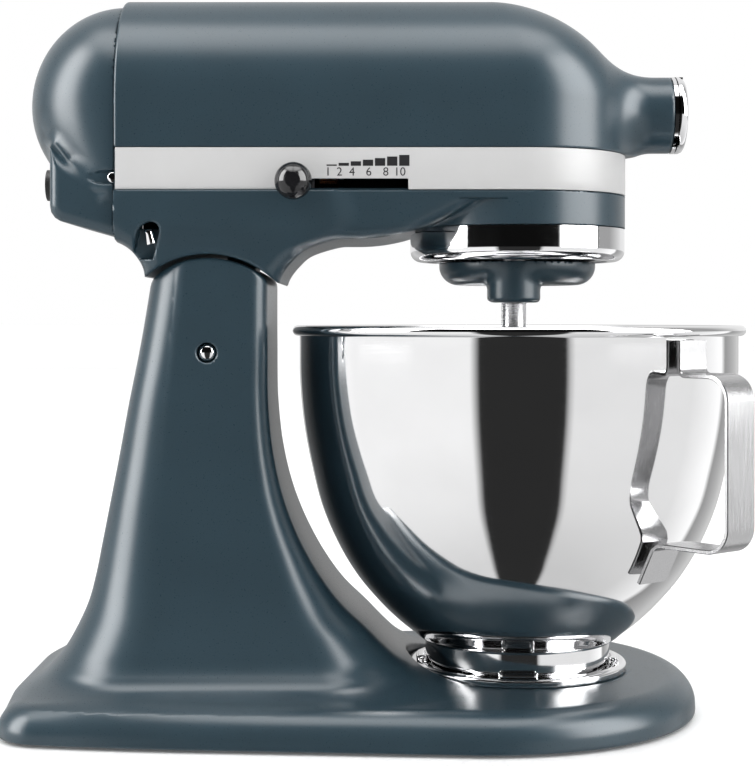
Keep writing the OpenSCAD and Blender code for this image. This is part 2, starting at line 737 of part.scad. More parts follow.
// ---- planetary ----

planet_z0 = 210;
planet_z1 = 221;
planetary_r = 39;
boss_z = 200.9;
beater_boss_r = 13;
spindle_r = beater_r + 0.65;
roll_pin_r = 1.8;
roll_pin_end = 25;
roll_pin_z = planet_z0 + 7;
cross_pin_z = 187;
shaft_end = 156;
planet_x = planet_orbit * cos(planet_angle);
planet_y = planet_orbit * sin(planet_angle);

module at_planet() at_bowl() translate([planet_x, planet_y, 0]) children();

module planetary_hub() color(paint) at_bowl() difference() {
    union() {
        translate([0, 0, planet_z0]) rotate_extrude($fn = 96) polygon(concat(
            [[0, 0]], [for (a = [-90:15:0]) [planetary_r - 10 + 10 * cos(a), 10 + 10 * sin(a)]],
            [[planetary_r, planet_z1 - planet_z0], [0, planet_z1 - planet_z0]]));
        intersection() {
            translate([planet_x, planet_y, boss_z]) cylinder(r = beater_boss_r, h = planet_z1 - boss_z);
            translate([0, 0, boss_z - 1]) cylinder(r = planetary_r, h = 40);
        }
    }
    translate([planet_x, planet_y, 0]) cylinder(r = spindle_r + run_gap, h = 300);
    y_rod(roll_pin_r, 0, roll_pin_end, 0, roll_pin_z, $fn = 24);
    translate([0, 0, planet_z0 + 3]) cylinder(r = centre_shaft_r, h = 30);
}

module centre_shaft() color(steel) at_bowl() translate([0, 0, planet_z0 + 3])
    cylinder(r = centre_shaft_r, h = hub_z - bevel_r - 2 - planet_z0);

module centre_gear() color(steel) at_bowl() rotate(centre_phase) spur(centre_teeth, spur_module, spur_z0, spur_z1, centre_shaft_r);

// A bevel gear standing on its large face
module bevel(teeth) linear_extrude(bevel_h, scale = (bevel_r - bevel_h) / bevel_r)
    gear_2d(teeth, 2 * (bevel_r - bevel_gap) / (teeth + 1.6), 0.8, 1.1, tooth_play);

module centre_bevel_gear() color(steel) at_bowl() difference() {
    translate([0, 0, hub_z - bevel_r - 0.3]) bevel(18);
    cylinder(r = centre_shaft_r, h = hub_z - bevel_r + 1);
}

module planetary_roll_pin() color(dark_steel) at_bowl()
    y_rod(roll_pin_r, centre_shaft_r + 0.1, roll_pin_end, 0, roll_pin_z, $fn = 24);

cross_pin_r = 1.6;

module beater_shaft() color(steel) at_planet() difference() {
    union() {
        translate([0, 0, shaft_end]) cylinder(r = beater_r, h = cross_pin_z - 2 - shaft_end);
        translate([0, 0, cross_pin_z - 3]) cylinder(r = beater_r - 0.3, h = boss_z - cross_pin_z + 4);
        translate([0, 0, boss_z]) cylinder(r = spindle_r, h = ring_z1 - boss_z - 0.5);
    }
    y_rod(cross_pin_r, -20, 20, 0, cross_pin_z, $fn = 24);
}

module planet_pinion() color(steel) at_planet() rotate(planet_angle)
    spur(planet_teeth, planet_module, ring_z0 + 0.3, ring_z1 - 0.6, spindle_r);

module beater_pin() color(steel) at_planet() y_rod(cross_pin_r, -9.5, 9.5, 0, cross_pin_z, $fn = 24);

// ---- accessory hub drive ----

drive_shaft_r = 7;

module hub_bevel_gear() color(steel) at_bowl() translate([bevel_r + 0.3, 0, hub_z]) rotate([0, -90, 0])
    rotate(180 / 18) bevel(18);

module hub_drive_shaft() color(steel) at_bowl() difference() {
    union() {
        x_rod(drive_shaft_r, bevel_r + 0.3, 44, 0, hub_z);
        x_rod(11, 43, socket_step - 0.5, 0, hub_z);
    }
    translate([34, -4, hub_z - 4]) cube([30, 8, 8]);
}

module hub_bushing() color(brass) at_bowl() difference() {
    x_rod(bushing_r, hub_root, 41, 0, hub_z);
    x_rod(drive_shaft_r + run_gap, 20, 50, 0, hub_z);
}

// ---- controls ----

stem_r = 1.9;

lever_pad_y = 9.6 - head_r;
module speed_lever() color(dark_steel) at_bowl() {
    y_rod(stem_r, -head_r - ball_r - 4.9, lever_pad_y + 0.1, -lever_back, slot_z, $fn = 32);
    block([-lever_back - 9, lever_pad_y, slot_z - 8], [-lever_back + 9, lever_pad_y + 2.1, slot_z + 8]);
}

// A ball knob with a blind hole for its stem on the side that dir points to
module ball_knob(r, dir) difference() {
    sphere(r = r);
    y_rod(stem_r, dir > 0 ? 0 : -2 * r, dir > 0 ? 2 * r : 0, 0, 0, $fn = 32);
}

module speed_ball() color(black) at_bowl() translate([-lever_back, -head_r - ball_r - 5, slot_z])
    ball_knob(ball_r, 1);

lock_reach = 26;

module lock_lever() color(steel) at_bowl() {
    y_rod(4, 34, head_r + 4, lock_x, lock_z, $fn = 32);
    block([lock_x - lock_reach, head_r + 1, lock_z - 2.5], [lock_x, head_r + 4, lock_z + 2.5]);
    y_rod(stem_r, head_r + 2, head_r + 11.9, lock_x - lock_reach + 3, lock_z, $fn = 32);
}

module lock_ball() color(black) at_bowl() translate([lock_x - lock_reach + 3, head_r + 12, lock_z])
    ball_knob(6.5, -1);

module attachment_knob() color(black) at_bowl() {
    y_rod(knob_r, socket_r + 0.5, hub_r + 9, knob_x, hub_z, $fn = 32);
    y_rod(9, hub_r + 2, hub_r + 14, knob_x, hub_z);
}

module hub_cover() color(steel) at_bowl() difference() {
    translate([hub_front + trim_t + 0.4, 0, hub_z]) rotate([0, 90, 0]) rotate_extrude() polygon(concat(
        [[0, 0], [flap_r, 0]],
        [for (k = [0:4]) [flap_r * cos(k * 22.5), 2.6 + 2.2 * sin(k * 22.5)]]));
    block([hub_front, -hinge_lug - 0.3, cover_pin_z - 3.5], [hub_front + 20, hinge_lug + 0.3, hub_z + 30]);
    block([hub_front, -30, cover_pin_z + 1.1], [hub_front + 20, 30, hub_z + 30]);
    y_rod(cover_pin_r + run_gap, -12, 12, cover_pin_x, cover_pin_z, $fn = 24);
}

// ---- rear electrics ----

module speed_board() color([0.15, 0.3, 0.2]) at_bowl() {
    block([-203, -30, 262], [-201, 30, 326]);
    for (k = [-1, 1]) y_rod(4, k * 14 - 5, k * 14 + 5, -206.5, 300);
}

module cord_gland() color(black) at_bowl() difference() {
    x_rod(gland_r, -seam_back - 46, -seam_back - 32, gland_y, gland_z, $fn = 32);
    x_rod(3.5, -seam_back - 50, -seam_back - 20, gland_y, gland_z, $fn = 32);
}

// ---- bowl ----

bowl_floor = 33;
// Share of the way from the foot's radius to the bowl's at each height, from the foot to the rim
bowl_profile = [
    [bowl_floor, 0.0218], [38, 0.10837], [42.5, 0.1984], [49.5, 0.31959], [56.5, 0.42347],
    [63.5, 0.51696], [70.5, 0.59487], [84.5, 0.71866], [98.5, 0.8125], [119.5, 0.90131],
    [140.5, 0.96364], [161.5, 0.99481], [bowl_top - 5, 1]
];
function bowl_wall_r(share) = bowl_foot_r + share * (bowl_r - bowl_foot_r);
rim_bead_r = 2.5;

module bowl_shell() color(steel) at_bowl() rotate_extrude($fn = 128) union() {
    polygon(concat(
        [[0, bowl_floor]],
        [for (p = bowl_profile) [bowl_wall_r(p[1]), p[0]]],
        [[bowl_r, bowl_top - 2.5], [bowl_r - bowl_t, bowl_top - 2.5]],
        [for (k = [len(bowl_profile) - 1:-1:0]) let (p = bowl_profile[k])
            [bowl_wall_r(p[1]) - bowl_t * (k < 3 ? 1.2 : 1), p[0] + (k < 6 ? bowl_t : k < 9 ? 0.7 * bowl_t : 0.1)]],
        [[0, bowl_floor + bowl_t]]));
    translate([bowl_r + 1.1, bowl_top - rim_bead_r]) circle(r = rim_bead_r, $fn = 32);
}

module bowl_foot() color(steel) at_bowl() {
    tube(bowl_foot_r, bowl_foot_r - 1.5, foot_z0, bowl_floor);
    for (k = [0:lug_count - 1]) rotate(-105 + k * 360 / lug_count)
        ring_piece(bowl_foot_r + lug_out - 0.3, bowl_foot_r - 1, foot_z0 + 0.2, foot_z0 + lug_h, 1, lug_angle - 1);
}

grip_top = 166.6;
grip_low = 91;
grip_bend = 10;
strap_gap = 0.06;

low_tab_top = [bowl_wall_r(0.78618), 94];
low_tab_end = [bowl_wall_r(0.61045), 72];
low_lean = (low_tab_top[0] - low_tab_end[0]) / (low_tab_top[1] - low_tab_end[1]);

// Inner face of the lower tab at a height
function tab_r(z) = low_tab_end[0] + 0.85 + (z - low_tab_end[1]) * low_lean;

// Points round a strap bend about its centre
function bend_arc(z, r, a0, a1) =
    [for (k = [0:8]) let (a = a0 + (a1 - a0) * k / 8) [handle_reach - grip_bend + r * cos(a), z + r * sin(a)]];

module strap_outline() {
    tab_in = bowl_r + strap_gap;
    lean_t = handle_t * sqrt(1 + low_lean * low_lean);
    tight = grip_bend - handle_t;
    polygon(concat(
        [[tab_in, bowl_top - 6], [tab_in + handle_t, bowl_top - 6], [tab_in + handle_t, grip_top]],
        bend_arc(grip_top - grip_bend, grip_bend, 90, 0),
        bend_arc(grip_low + grip_bend, grip_bend, 0, -90),
        [[tab_r(grip_low) + lean_t, grip_low], [tab_r(low_tab_end[1]) + lean_t, low_tab_end[1]],
         [tab_r(low_tab_end[1]), low_tab_end[1]], [tab_r(grip_low + handle_t), grip_low + handle_t]],
        bend_arc(grip_low + grip_bend, tight, -90, 0),
        bend_arc(grip_top - grip_bend, tight, 0, 90),
        [[tab_in, grip_top - handle_t]]));
}

module bowl_handle() color(steel) at_bowl() rotate(-handle_angle)
    rotate([90, 0, 0]) linear_extrude(handle_w, center = true) strap_outline();

base_column();
base_feet();
bowl_clamp_plate();
clamp_plate_screws();
hinge_pin();
hinge_set_screw();
height_screw();
upper_housing();
rear_cover();
rear_cover_screw();
gearcase_lower();
trim_band();
band_screws();
speed_scale();
drip_ring();
ring_gear();
shaft_bush();
hub_trim_ring();
hub_hinge_pin();
armature_bearings();
bearing_brackets();
field_core();
field_coils();
brush_holders();
brushes();
brush_caps();
speed_board();
wheel_bracket();
cord_gland();
armature_shaft();
armature_core();
commutator();
cooling_fan();
motor_worm();
worm_wheel();
wheel_pinion();
wheel_shaft();
planetary_hub();
centre_shaft();
centre_gear();
centre_bevel_gear();
planetary_roll_pin();
beater_shaft();
planet_pinion();
beater_pin();
hub_bevel_gear();
hub_drive_shaft();
hub_bushing();
speed_lever();
speed_ball();
lock_lever();
lock_ball();
attachment_knob();
hub_cover();
bowl_shell();
bowl_foot();
bowl_handle();
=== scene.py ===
"""Looks of the tilt-head stand mixer: its castings, metal, marks, finishes and studio stage."""
import json
import math

import bmesh
import bpy
import numpy as np
from mathutils import Matrix, Vector


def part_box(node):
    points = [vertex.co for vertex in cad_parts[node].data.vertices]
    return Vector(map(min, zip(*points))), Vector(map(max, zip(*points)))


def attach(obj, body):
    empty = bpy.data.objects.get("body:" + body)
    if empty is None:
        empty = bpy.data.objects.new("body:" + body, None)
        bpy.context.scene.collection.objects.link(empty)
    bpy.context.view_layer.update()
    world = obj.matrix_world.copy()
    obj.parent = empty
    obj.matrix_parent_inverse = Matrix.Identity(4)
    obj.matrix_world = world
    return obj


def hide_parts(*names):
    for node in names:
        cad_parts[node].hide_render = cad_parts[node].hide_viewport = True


bl_info = {
    "name": "Tilt-Head Stand Mixer",
    "version": (1, 0, 0),
    "blender": (4, 5, 0),
    "location": "View3D > Sidebar > Mixer",
    "description": "Builds the shown surfaces of a tilt-head stand mixer on its packed CAD frame",
    "category": "Object",
}

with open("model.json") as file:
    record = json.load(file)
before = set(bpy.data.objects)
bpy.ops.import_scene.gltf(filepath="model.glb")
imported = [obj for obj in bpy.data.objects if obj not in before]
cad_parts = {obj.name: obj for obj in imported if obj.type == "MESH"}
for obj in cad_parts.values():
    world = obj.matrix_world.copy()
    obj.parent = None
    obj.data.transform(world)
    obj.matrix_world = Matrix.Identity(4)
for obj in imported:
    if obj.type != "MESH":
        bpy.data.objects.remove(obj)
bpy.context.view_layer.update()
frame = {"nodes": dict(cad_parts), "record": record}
bowl_low, bowl_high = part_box("bowl_shell")
BOWL_X = (bowl_low.x + bowl_high.x) / 2
MM = 0.001
MERGE = 0.00001

# Main stations in millimetres, measured from the bowl axis, as the frame has them
HEAD_R, HEAD_Z, SEAM_X, REAR_REACH = 53.7, 298.6, -194.5, 48.0
CASE_FLOOR, BAND_LOW, BAND_TOP, RING_TOP = 231.0, 254.0, 274.0, 237.6
HUB_Z, HUB_R, HUB_FRONT, SOCKET_R = 295.0, 19.0, 76.5, 15.0
PIN_X, PIN_Z, SADDLE_R, SADDLE_GAP, SLOT_HALF = -151.0, 177.0, 45.2, 1.6, 17.0
LEVER_X, SLOT_Z, SLOT_H = -109.0, 257.0, 4.4
PLANET_X, PLANET_Y = 26.875 * math.cos(math.radians(-98)), 26.875 * math.sin(math.radians(-98))
FEET = [(52, 0), (-20, 78), (-20, -78), (-205, 58), (-205, -58)]
RIM_R, RIM_TOP = 108.9, 189.8
LOCK_X, LOCK_Z = -140.0, 242.0
COVER_SCREW_Z, GLAND_Y, GLAND_Z = 312, 26, 262
SCOOP_X, SCOOP_Z = -178.6, 232.6
CLAMP_SCREW_RING = 36
QUARTERS = [((0, 0, 0), (0, 0, -105 + 90 * k), (1, 1, 1)) for k in range(4)]


# ---- mesh helpers ----

def own(name, mesh):
    """Links a mesh as a new object."""
    obj = bpy.data.objects.new(name, mesh)
    bpy.context.scene.collection.objects.link(obj)
    return obj


def solid(name, points, faces):
    """A mesh object from points in millimetres about the bowl axis."""
    mesh = bpy.data.meshes.new(name)
    shifted = np.asarray(points, float) * MM
    shifted[:, 0] += BOWL_X
    mesh.from_pydata(shifted.tolist(), [], [list(map(int, f)) for f in faces])
    mesh.update()
    mesh.shade_smooth()
    return own(name, mesh)


def clean(obj):
    """Merges doubled points and turns faces outwards."""
    bm = bmesh.new()
    bm.from_mesh(obj.data)
    bmesh.ops.remove_doubles(bm, verts=bm.verts, dist=MERGE)
    bmesh.ops.dissolve_degenerate(bm, edges=bm.edges, dist=MERGE)
    bmesh.ops.recalc_face_normals(bm, faces=bm.faces)
    bm.to_mesh(obj.data)
    bm.free()
    return obj


def creases(obj, angle=32):
    """Smooth shading with crisp edges above an angle, in degrees."""
    obj.data.shade_smooth()
    bm = bmesh.new()
    bm.from_mesh(obj.data)
    limit = math.radians(angle)
    for edge in bm.edges:
        edge.smooth = len(edge.link_faces) == 2 and edge.calc_face_angle(0) < limit
    bm.to_mesh(obj.data)
    bm.free()
    return obj


def settle(obj):
    """Applies the modifiers, leaving a plain mesh."""
    deps = bpy.context.evaluated_depsgraph_get()
    mesh = bpy.data.meshes.new_from_object(obj.evaluated_get(deps))
    obj.modifiers.clear()
    old = obj.data
    obj.data = mesh
    bpy.data.meshes.remove(old)
    return obj


def lathe(name, profile, steps=96, axis="Z", at=(0, 0, 0), angle=32):
    """Turns a closed (radius, height) profile about an axis through at."""
    rings = []
    points, faces = [], []
    for radius, height in profile:
        if radius < 1e-6:
            rings.append([len(points)] * steps)
            points.append((0, 0, height))
            continue
        rings.append(list(range(len(points), len(points) + steps)))
        for k in range(steps):
            a = 2 * math.pi * k / steps
            points.append((radius * math.cos(a), radius * math.sin(a), height))
    for low, high in zip(rings, rings[1:] + rings[:1]):
        for k in range(steps):
            n = (k + 1) % steps
            face = []
            for index in (low[k], low[n], high[n], high[k]):
                if index not in face:
                    face.append(index)
            if len(face) > 2:
                faces.append(face)
    turned = [{"Z": (x, y, z), "Y": (x, z, -y), "X": (z, y, -x)}[axis] for x, y, z in points]
    moved = [(x + at[0], y + at[1], z + at[2]) for x, y, z in turned]
    return creases(clean(solid(name, moved, faces)), angle)


def arc_points(radius, start, end, count, at=(0, 0)):
    """Points on an arc in one plane, angles in degrees."""
    turns = [math.radians(start + (end - start) * k / count) for k in range(count + 1)]
    return [(at[0] + radius * math.cos(a), at[1] + radius * math.sin(a)) for a in turns]


def rounded(profile, radius, steps=5):
    """Rounds the corners of a closed (radius, height) profile, apart from those on the axis."""
    out = []
    count = len(profile)
    for i, point in enumerate(profile):
        before, after = Vector(profile[i - 1]), Vector(profile[(i + 1) % count])
        here = Vector(point)
        if here.x < 1e-6:
            out.append(tuple(here))
            continue
        a, b = before - here, after - here
        reach = min(radius, a.length * 0.45, b.length * 0.45)
        start, end = here + a.normalized() * reach, here + b.normalized() * reach
        for k in range(steps + 1):
            t = k / steps
            out.append(tuple(start * (1 - t) ** 2 + here * 2 * t * (1 - t) + end * t * t))
    return out


def prism(name, outline, low, high, plane="XZ", bevel=0.0):
    """A straight bar with a closed outline in one plane, between two stations of the third axis."""
    n = len(outline)
    points = [(p, w, q) if plane == "XZ" else (p, q, w) for w in (low, high) for p, q in outline]
    faces = [(k, (k + 1) % n, n + (k + 1) % n, n + k) for k in range(n)]
    faces += [tuple(range(n)), tuple(range(n, 2 * n))]
    obj = clean(solid(name, points, faces))
    if bevel:
        mod = obj.modifiers.new("Bevel", "BEVEL")
        mod.width = bevel * MM
        mod.segments = 3
        mod.limit_method = "ANGLE"
        mod.angle_limit = math.radians(35)
        settle(obj)
    return creases(obj)


def join(name, objs):
    """One object from several."""
    bm = bmesh.new()
    for obj in objs:
        bm.from_mesh(obj.data)
    mesh = bpy.data.meshes.new(name)
    bm.to_mesh(mesh)
    bm.free()
    for obj in objs:
        bpy.data.objects.remove(obj)
    return own(name, mesh)


# ---- castings as smooth fields ----

def soft_min(a, b, k):
    """Joins two fields with a fillet about k wide."""
    h = np.maximum(k - np.abs(a - b), 0) / k
    return np.minimum(a, b) - h * h * k / 4


def soft_max(a, b, k):
    """Trims one field by another with a rounded edge about k wide."""
    return -soft_min(-a, -b, k)


def round_max(a, b, r):
    """Trims one field by another with a true radius r on the edge."""
    inner = np.minimum(np.maximum(a + r, b + r), 0)
    return inner + np.hypot(np.maximum(a + r, 0), np.maximum(b + r, 0)) - r


def ease(z, rows, column):
    """Smooth value of a table column at a height."""
    knots = np.array([row[0] for row in rows], float)
    values = np.array([row[column] for row in rows], float)
    slopes = np.gradient(values, knots)
    z = np.clip(z, knots[0], knots[-1])
    i = np.clip(np.searchsorted(knots, z) - 1, 0, len(knots) - 2)
    width = knots[i + 1] - knots[i]
    t = (z - knots[i]) / width
    a = (1 + 2 * t) * (1 - t) ** 2 * values[i] + t * (1 - t) ** 2 * width * slopes[i]
    return a + t * t * (3 - 2 * t) * values[i + 1] + t * t * (t - 1) * width * slopes[i + 1]


def steps(*runs):
    """One axis of a grid, from runs of (start, stop, spacing)."""
    parts = [np.linspace(a, b, max(2, round((b - a) / step) + 1))[:-1] for a, b, step in runs]
    return np.concatenate(parts + [[runs[-1][1]]])


def skin(name, field, xs, ys, zs):
    """A closed smooth mesh on a field's zero surface, with the field's own normals."""
    grid = np.meshgrid(xs, ys, zs, indexing="ij", sparse=True)
    f = np.broadcast_to(field(*grid), (len(xs), len(ys), len(zs))).astype(np.float32)
    inside = f < 0
    nx, ny, nz = (n - 1 for n in f.shape)
    corners = [(i, j, k) for i in (0, 1) for j in (0, 1) for k in (0, 1)]
    tally = np.zeros((nx, ny, nz), np.int8)
    for i, j, k in corners:
        tally += inside[i:nx + i, j:ny + j, k:nz + k]
    cells = np.argwhere((tally > 0) & (tally < 8))
    values = np.stack([f[tuple((cells + c).T)] for c in corners], 1)
    total = np.zeros((len(cells), 3))
    count = np.zeros(len(cells))
    for a in range(8):
        for b in range(a + 1, 8):
            ca, cb = np.array(corners[a]), np.array(corners[b])
            if np.abs(ca - cb).sum() != 1:
                continue
            va, vb = values[:, a], values[:, b]
            cross = (va < 0) != (vb < 0)
            t = np.where(cross, va / np.where(cross, va - vb, 1), 0)[:, None]
            total += np.where(cross[:, None], ca + (cb - ca) * t, 0)
            count += cross
    part = total / count[:, None]
    spots = np.empty((len(cells), 3))
    for d, line in enumerate((xs, ys, zs)):
        i = cells[:, d]
        spots[:, d] = line[i] + part[:, d] * (line[i + 1] - line[i])
    for _ in range(4):
        value, slope = probe(field, spots)
        move = slope * (value / np.maximum((slope ** 2).sum(1), 0.05))[:, None]
        size = np.linalg.norm(move, axis=1, keepdims=True)
        spots -= move * np.minimum(1, 0.8 / np.maximum(size, 1e-9))
    number = np.full((nx, ny, nz), -1, np.int32)
    number[tuple(cells.T)] = np.arange(len(cells))
    faces = []
    for d in range(3):
        u, v = (d + 1) % 3, (d + 2) % 3
        low = np.take(inside, range(0, inside.shape[d] - 1), axis=d)
        high = np.take(inside, range(1, inside.shape[d]), axis=d)
        edges = np.argwhere(low != high)
        edges = edges[(edges[:, u] > 0) & (edges[:, v] > 0)]
        edges = edges[(edges[:, u] < inside.shape[u] - 1) & (edges[:, v] < inside.shape[v] - 1)]
        ring = []
        for du, dv in ((1, 1), (0, 1), (0, 0), (1, 0)):
            step = np.zeros(3, int)
            step[u], step[v] = du, dv
            ring.append(number[tuple((edges - step).T)])
        quads = np.stack(ring, 1)
        flip = ~low[tuple(edges.T)]
        quads[flip] = quads[flip][:, ::-1]
        faces.append(quads)
    obj = solid(name, spots, np.concatenate(faces))
    normals = probe(field, spots)[1]
    normals /= np.maximum(np.linalg.norm(normals, axis=1, keepdims=True), 1e-9)
    obj.data.normals_split_custom_set_from_vertices(normals.tolist())
    return obj


def probe(field, spots):
    """Value and slope of a field at points."""
    x, y, z = spots.T
    h = 0.08
    slope = np.stack([
        field(x + h, y, z) - field(x - h, y, z),
        field(x, y + h, z) - field(x, y - h, z),
        field(x, y, z + h) - field(x, y, z - h),
    ], 1) / (2 * h)
    return field(x, y, z), slope


def rod_y(x, z, at_x, at_z, r):
    """Field of an endless rod along Y."""
    return np.hypot(x - at_x, z - at_z) - r


# ---- finishes ----

def grain_group(name, rates):
    """A noise group: a height for a bump, and a value spread between Low and High. Returns what feeds it."""
    tree = bpy.data.node_groups.new(name, "ShaderNodeTree")
    for label, value in rates + [("Low", 0), ("High", 1)]:
        tree.interface.new_socket(label, in_out="INPUT", socket_type="NodeSocketFloat").default_value = value
    for label in ("Height", "Spread"):
        tree.interface.new_socket(label, in_out="OUTPUT", socket_type="NodeSocketFloat")
    source, result = tree.nodes.new("NodeGroupInput"), tree.nodes.new("NodeGroupOutput")
    where = tree.nodes.new("ShaderNodeTexCoord")
    noise = tree.nodes.new("ShaderNodeTexNoise")
    ranged = tree.nodes.new("ShaderNodeMapRange")
    link = tree.links.new
    link(noise.outputs["Fac"], ranged.inputs["Value"])
    ranged.inputs["From Min"].default_value = 0.3
    ranged.inputs["From Max"].default_value = 0.7
    link(source.outputs["Low"], ranged.inputs["To Min"])
    link(source.outputs["High"], ranged.inputs["To Max"])
    link(noise.outputs["Fac"], result.inputs["Height"])
    link(ranged.outputs["Result"], result.inputs["Spread"])
    return tree, source, where, noise


def fine_grain():
    """Even fine grain."""
    if "Fine Grain" in bpy.data.node_groups:
        return bpy.data.node_groups["Fine Grain"]
    tree, source, where, noise = grain_group("Fine Grain", [("Scale", 900)])
    tree.links.new(where.outputs["Object"], noise.inputs["Vector"])
    tree.links.new(source.outputs["Scale"], noise.inputs["Scale"])
    noise.inputs["Detail"].default_value = 3
    return tree


def drawn_lines():
    """Long fine lines left by rolling, drawing or turning, stretched along one or two axes."""
    if "Drawn Lines" in bpy.data.node_groups:
        return bpy.data.node_groups["Drawn Lines"]
    tree, source, where, noise = grain_group(
        "Drawn Lines", [("Along X", 60), ("Along Y", 60), ("Along Z", 4000)])
    stretch = tree.nodes.new("ShaderNodeVectorMath")
    stretch.operation = "MULTIPLY"
    rates = tree.nodes.new("ShaderNodeCombineXYZ")
    for axis in "XYZ":
        tree.links.new(source.outputs["Along " + axis], rates.inputs[axis])
    tree.links.new(where.outputs["Object"], stretch.inputs[0])
    tree.links.new(rates.outputs[0], stretch.inputs[1])
    tree.links.new(stretch.outputs[0], noise.inputs["Vector"])
    noise.inputs["Scale"].default_value = 1
    noise.inputs["Detail"].default_value = 2
    return tree


def finish(name, colour, low, high, metal=0.0, scale=900.0, bump=0.0, depth=0.00002,
           lines=None, tint=0.06):
    """A finish whose colour, roughness and height vary at the grain of the real surface."""
    mat = bpy.data.materials.new(name)
    mat.use_nodes = True
    tree = mat.node_tree
    shader = tree.nodes["Principled BSDF"]
    shader.inputs["Metallic"].default_value = metal
    grain = tree.nodes.new("ShaderNodeGroup")
    if lines:
        grain.node_tree = drawn_lines()
        for axis, rate in zip("XYZ", lines):
            grain.inputs["Along " + axis].default_value = rate
    else:
        grain.node_tree = fine_grain()
        grain.inputs["Scale"].default_value = scale
    grain.inputs["Low"].default_value = low
    grain.inputs["High"].default_value = high
    tree.links.new(grain.outputs["Spread"], shader.inputs["Roughness"])
    drift = tree.nodes.new("ShaderNodeGroup")
    drift.node_tree = fine_grain()
    drift.inputs["Scale"].default_value = 35
    blend = tree.nodes.new("ShaderNodeMix")
    blend.data_type = "RGBA"
    blend.inputs["A"].default_value = (*[c * (1 - tint) for c in colour[:3]], 1)
    blend.inputs["B"].default_value = (*[min(c * (1 + tint), 1) for c in colour[:3]], 1)
    tree.links.new(drift.outputs["Spread"], blend.inputs["Factor"])
    tree.links.new(blend.outputs["Result"], shader.inputs["Base Color"])
    if bump:
        relief = tree.nodes.new("ShaderNodeBump")
        relief.inputs["Strength"].default_value = bump
        relief.inputs["Distance"].default_value = depth
        tree.links.new(grain.outputs["Height"], relief.inputs["Height"])
        tree.links.new(relief.outputs["Normal"], shader.inputs["Normal"])
    return mat


def finishes():
    """Every finish of the mixer by its slot name, made once."""
    if "satin enamel" in bpy.data.materials:
        return {m["slot"]: m for m in bpy.data.materials if "slot" in m}
    body = bpy.context.scene.mixer_body
    made = {
        "paint": finish("satin enamel", body.enamel, body.enamel_roughness - 0.02, body.enamel_roughness + 0.04,
                        scale=1500, bump=0.25, depth=0.00003, tint=0.05),
        "band": finish("painted band", (0.46, 0.46, 0.46), 0.38, 0.46, scale=2500, bump=0.15, tint=0.02),
        "chrome": finish("polished chrome", (0.80, 0.80, 0.81), 0.035, 0.07, metal=1, scale=400, tint=0.02),
        "bowl_steel": finish("mirror steel", (0.77, 0.77, 0.775), 0.04, 0.075, metal=1,
                             lines=(30, 30, 3000), tint=0.02),
        "handle_steel": finish("satin steel", (0.45, 0.45, 0.455), 0.20, 0.28, metal=1,
                               lines=(2500, 2500, 60), bump=0.2, tint=0.03),
        "steel": finish("ground steel", (0.62, 0.62, 0.63), 0.18, 0.30, metal=1,
                        lines=(60, 60, 4000), bump=0.1, tint=0.03),
        "dark_steel": finish("blackened steel", (0.16, 0.16, 0.17), 0.3, 0.45, metal=1, scale=600, bump=0.2),
        "cast": finish("cast zinc", (0.42, 0.42, 0.43), 0.4, 0.55, metal=1, scale=1200, bump=0.4),
        "laminations": finish("stacked laminations", (0.25, 0.25, 0.27), 0.35, 0.5, metal=1,
                              lines=(2200, 20, 20), bump=0.5, depth=0.0001),
        "copper": finish("enamelled copper wire", (0.62, 0.25, 0.12), 0.2, 0.35, metal=1,
                         lines=(100, 2200, 2200), bump=0.6, depth=0.0002),
        "brass": finish("turned brass", (0.70, 0.50, 0.22), 0.22, 0.34, metal=1,
                        lines=(3000, 60, 60), bump=0.1),
        "black_gloss": finish("black gloss moulding", (0.008, 0.008, 0.009), 0.06, 0.12, scale=500, tint=0.2),
        "black_matte": finish("black satin moulding", (0.02, 0.02, 0.021), 0.35, 0.5, scale=1800, bump=0.3),
        "ink": finish("printed ink", (0.012, 0.012, 0.014), 0.35, 0.45, scale=3000, bump=0.05),
        "rubber": finish("moulded rubber", (0.018, 0.018, 0.018), 0.6, 0.75, scale=1600, bump=0.5),
        "nylon": finish("natural nylon", (0.72, 0.69, 0.60), 0.35, 0.5, scale=700, bump=0.1),
        "board": finish("printed circuit laminate", (0.02, 0.09, 0.04), 0.3, 0.42, scale=1400, bump=0.3),
        "carbon": finish("pressed carbon", (0.03, 0.03, 0.032), 0.5, 0.7, scale=2400, bump=0.4),
    }
    for slot_name, mat in made.items():
        mat["slot"] = slot_name
    return made


def dress(obj, slot_name, body, *nodes):
    """Gives a piece its finish, body and the CAD nodes it stands for."""
    mat = finishes()[slot_name]
    obj.data.materials.clear()
    obj.data.materials.append(mat)
    obj.data.polygons.foreach_set("material_index", [0] * len(obj.data.polygons))
    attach(obj, body)
    if nodes:
        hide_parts(*nodes)
    return obj


# ---- copies of one small part, by geometry nodes ----

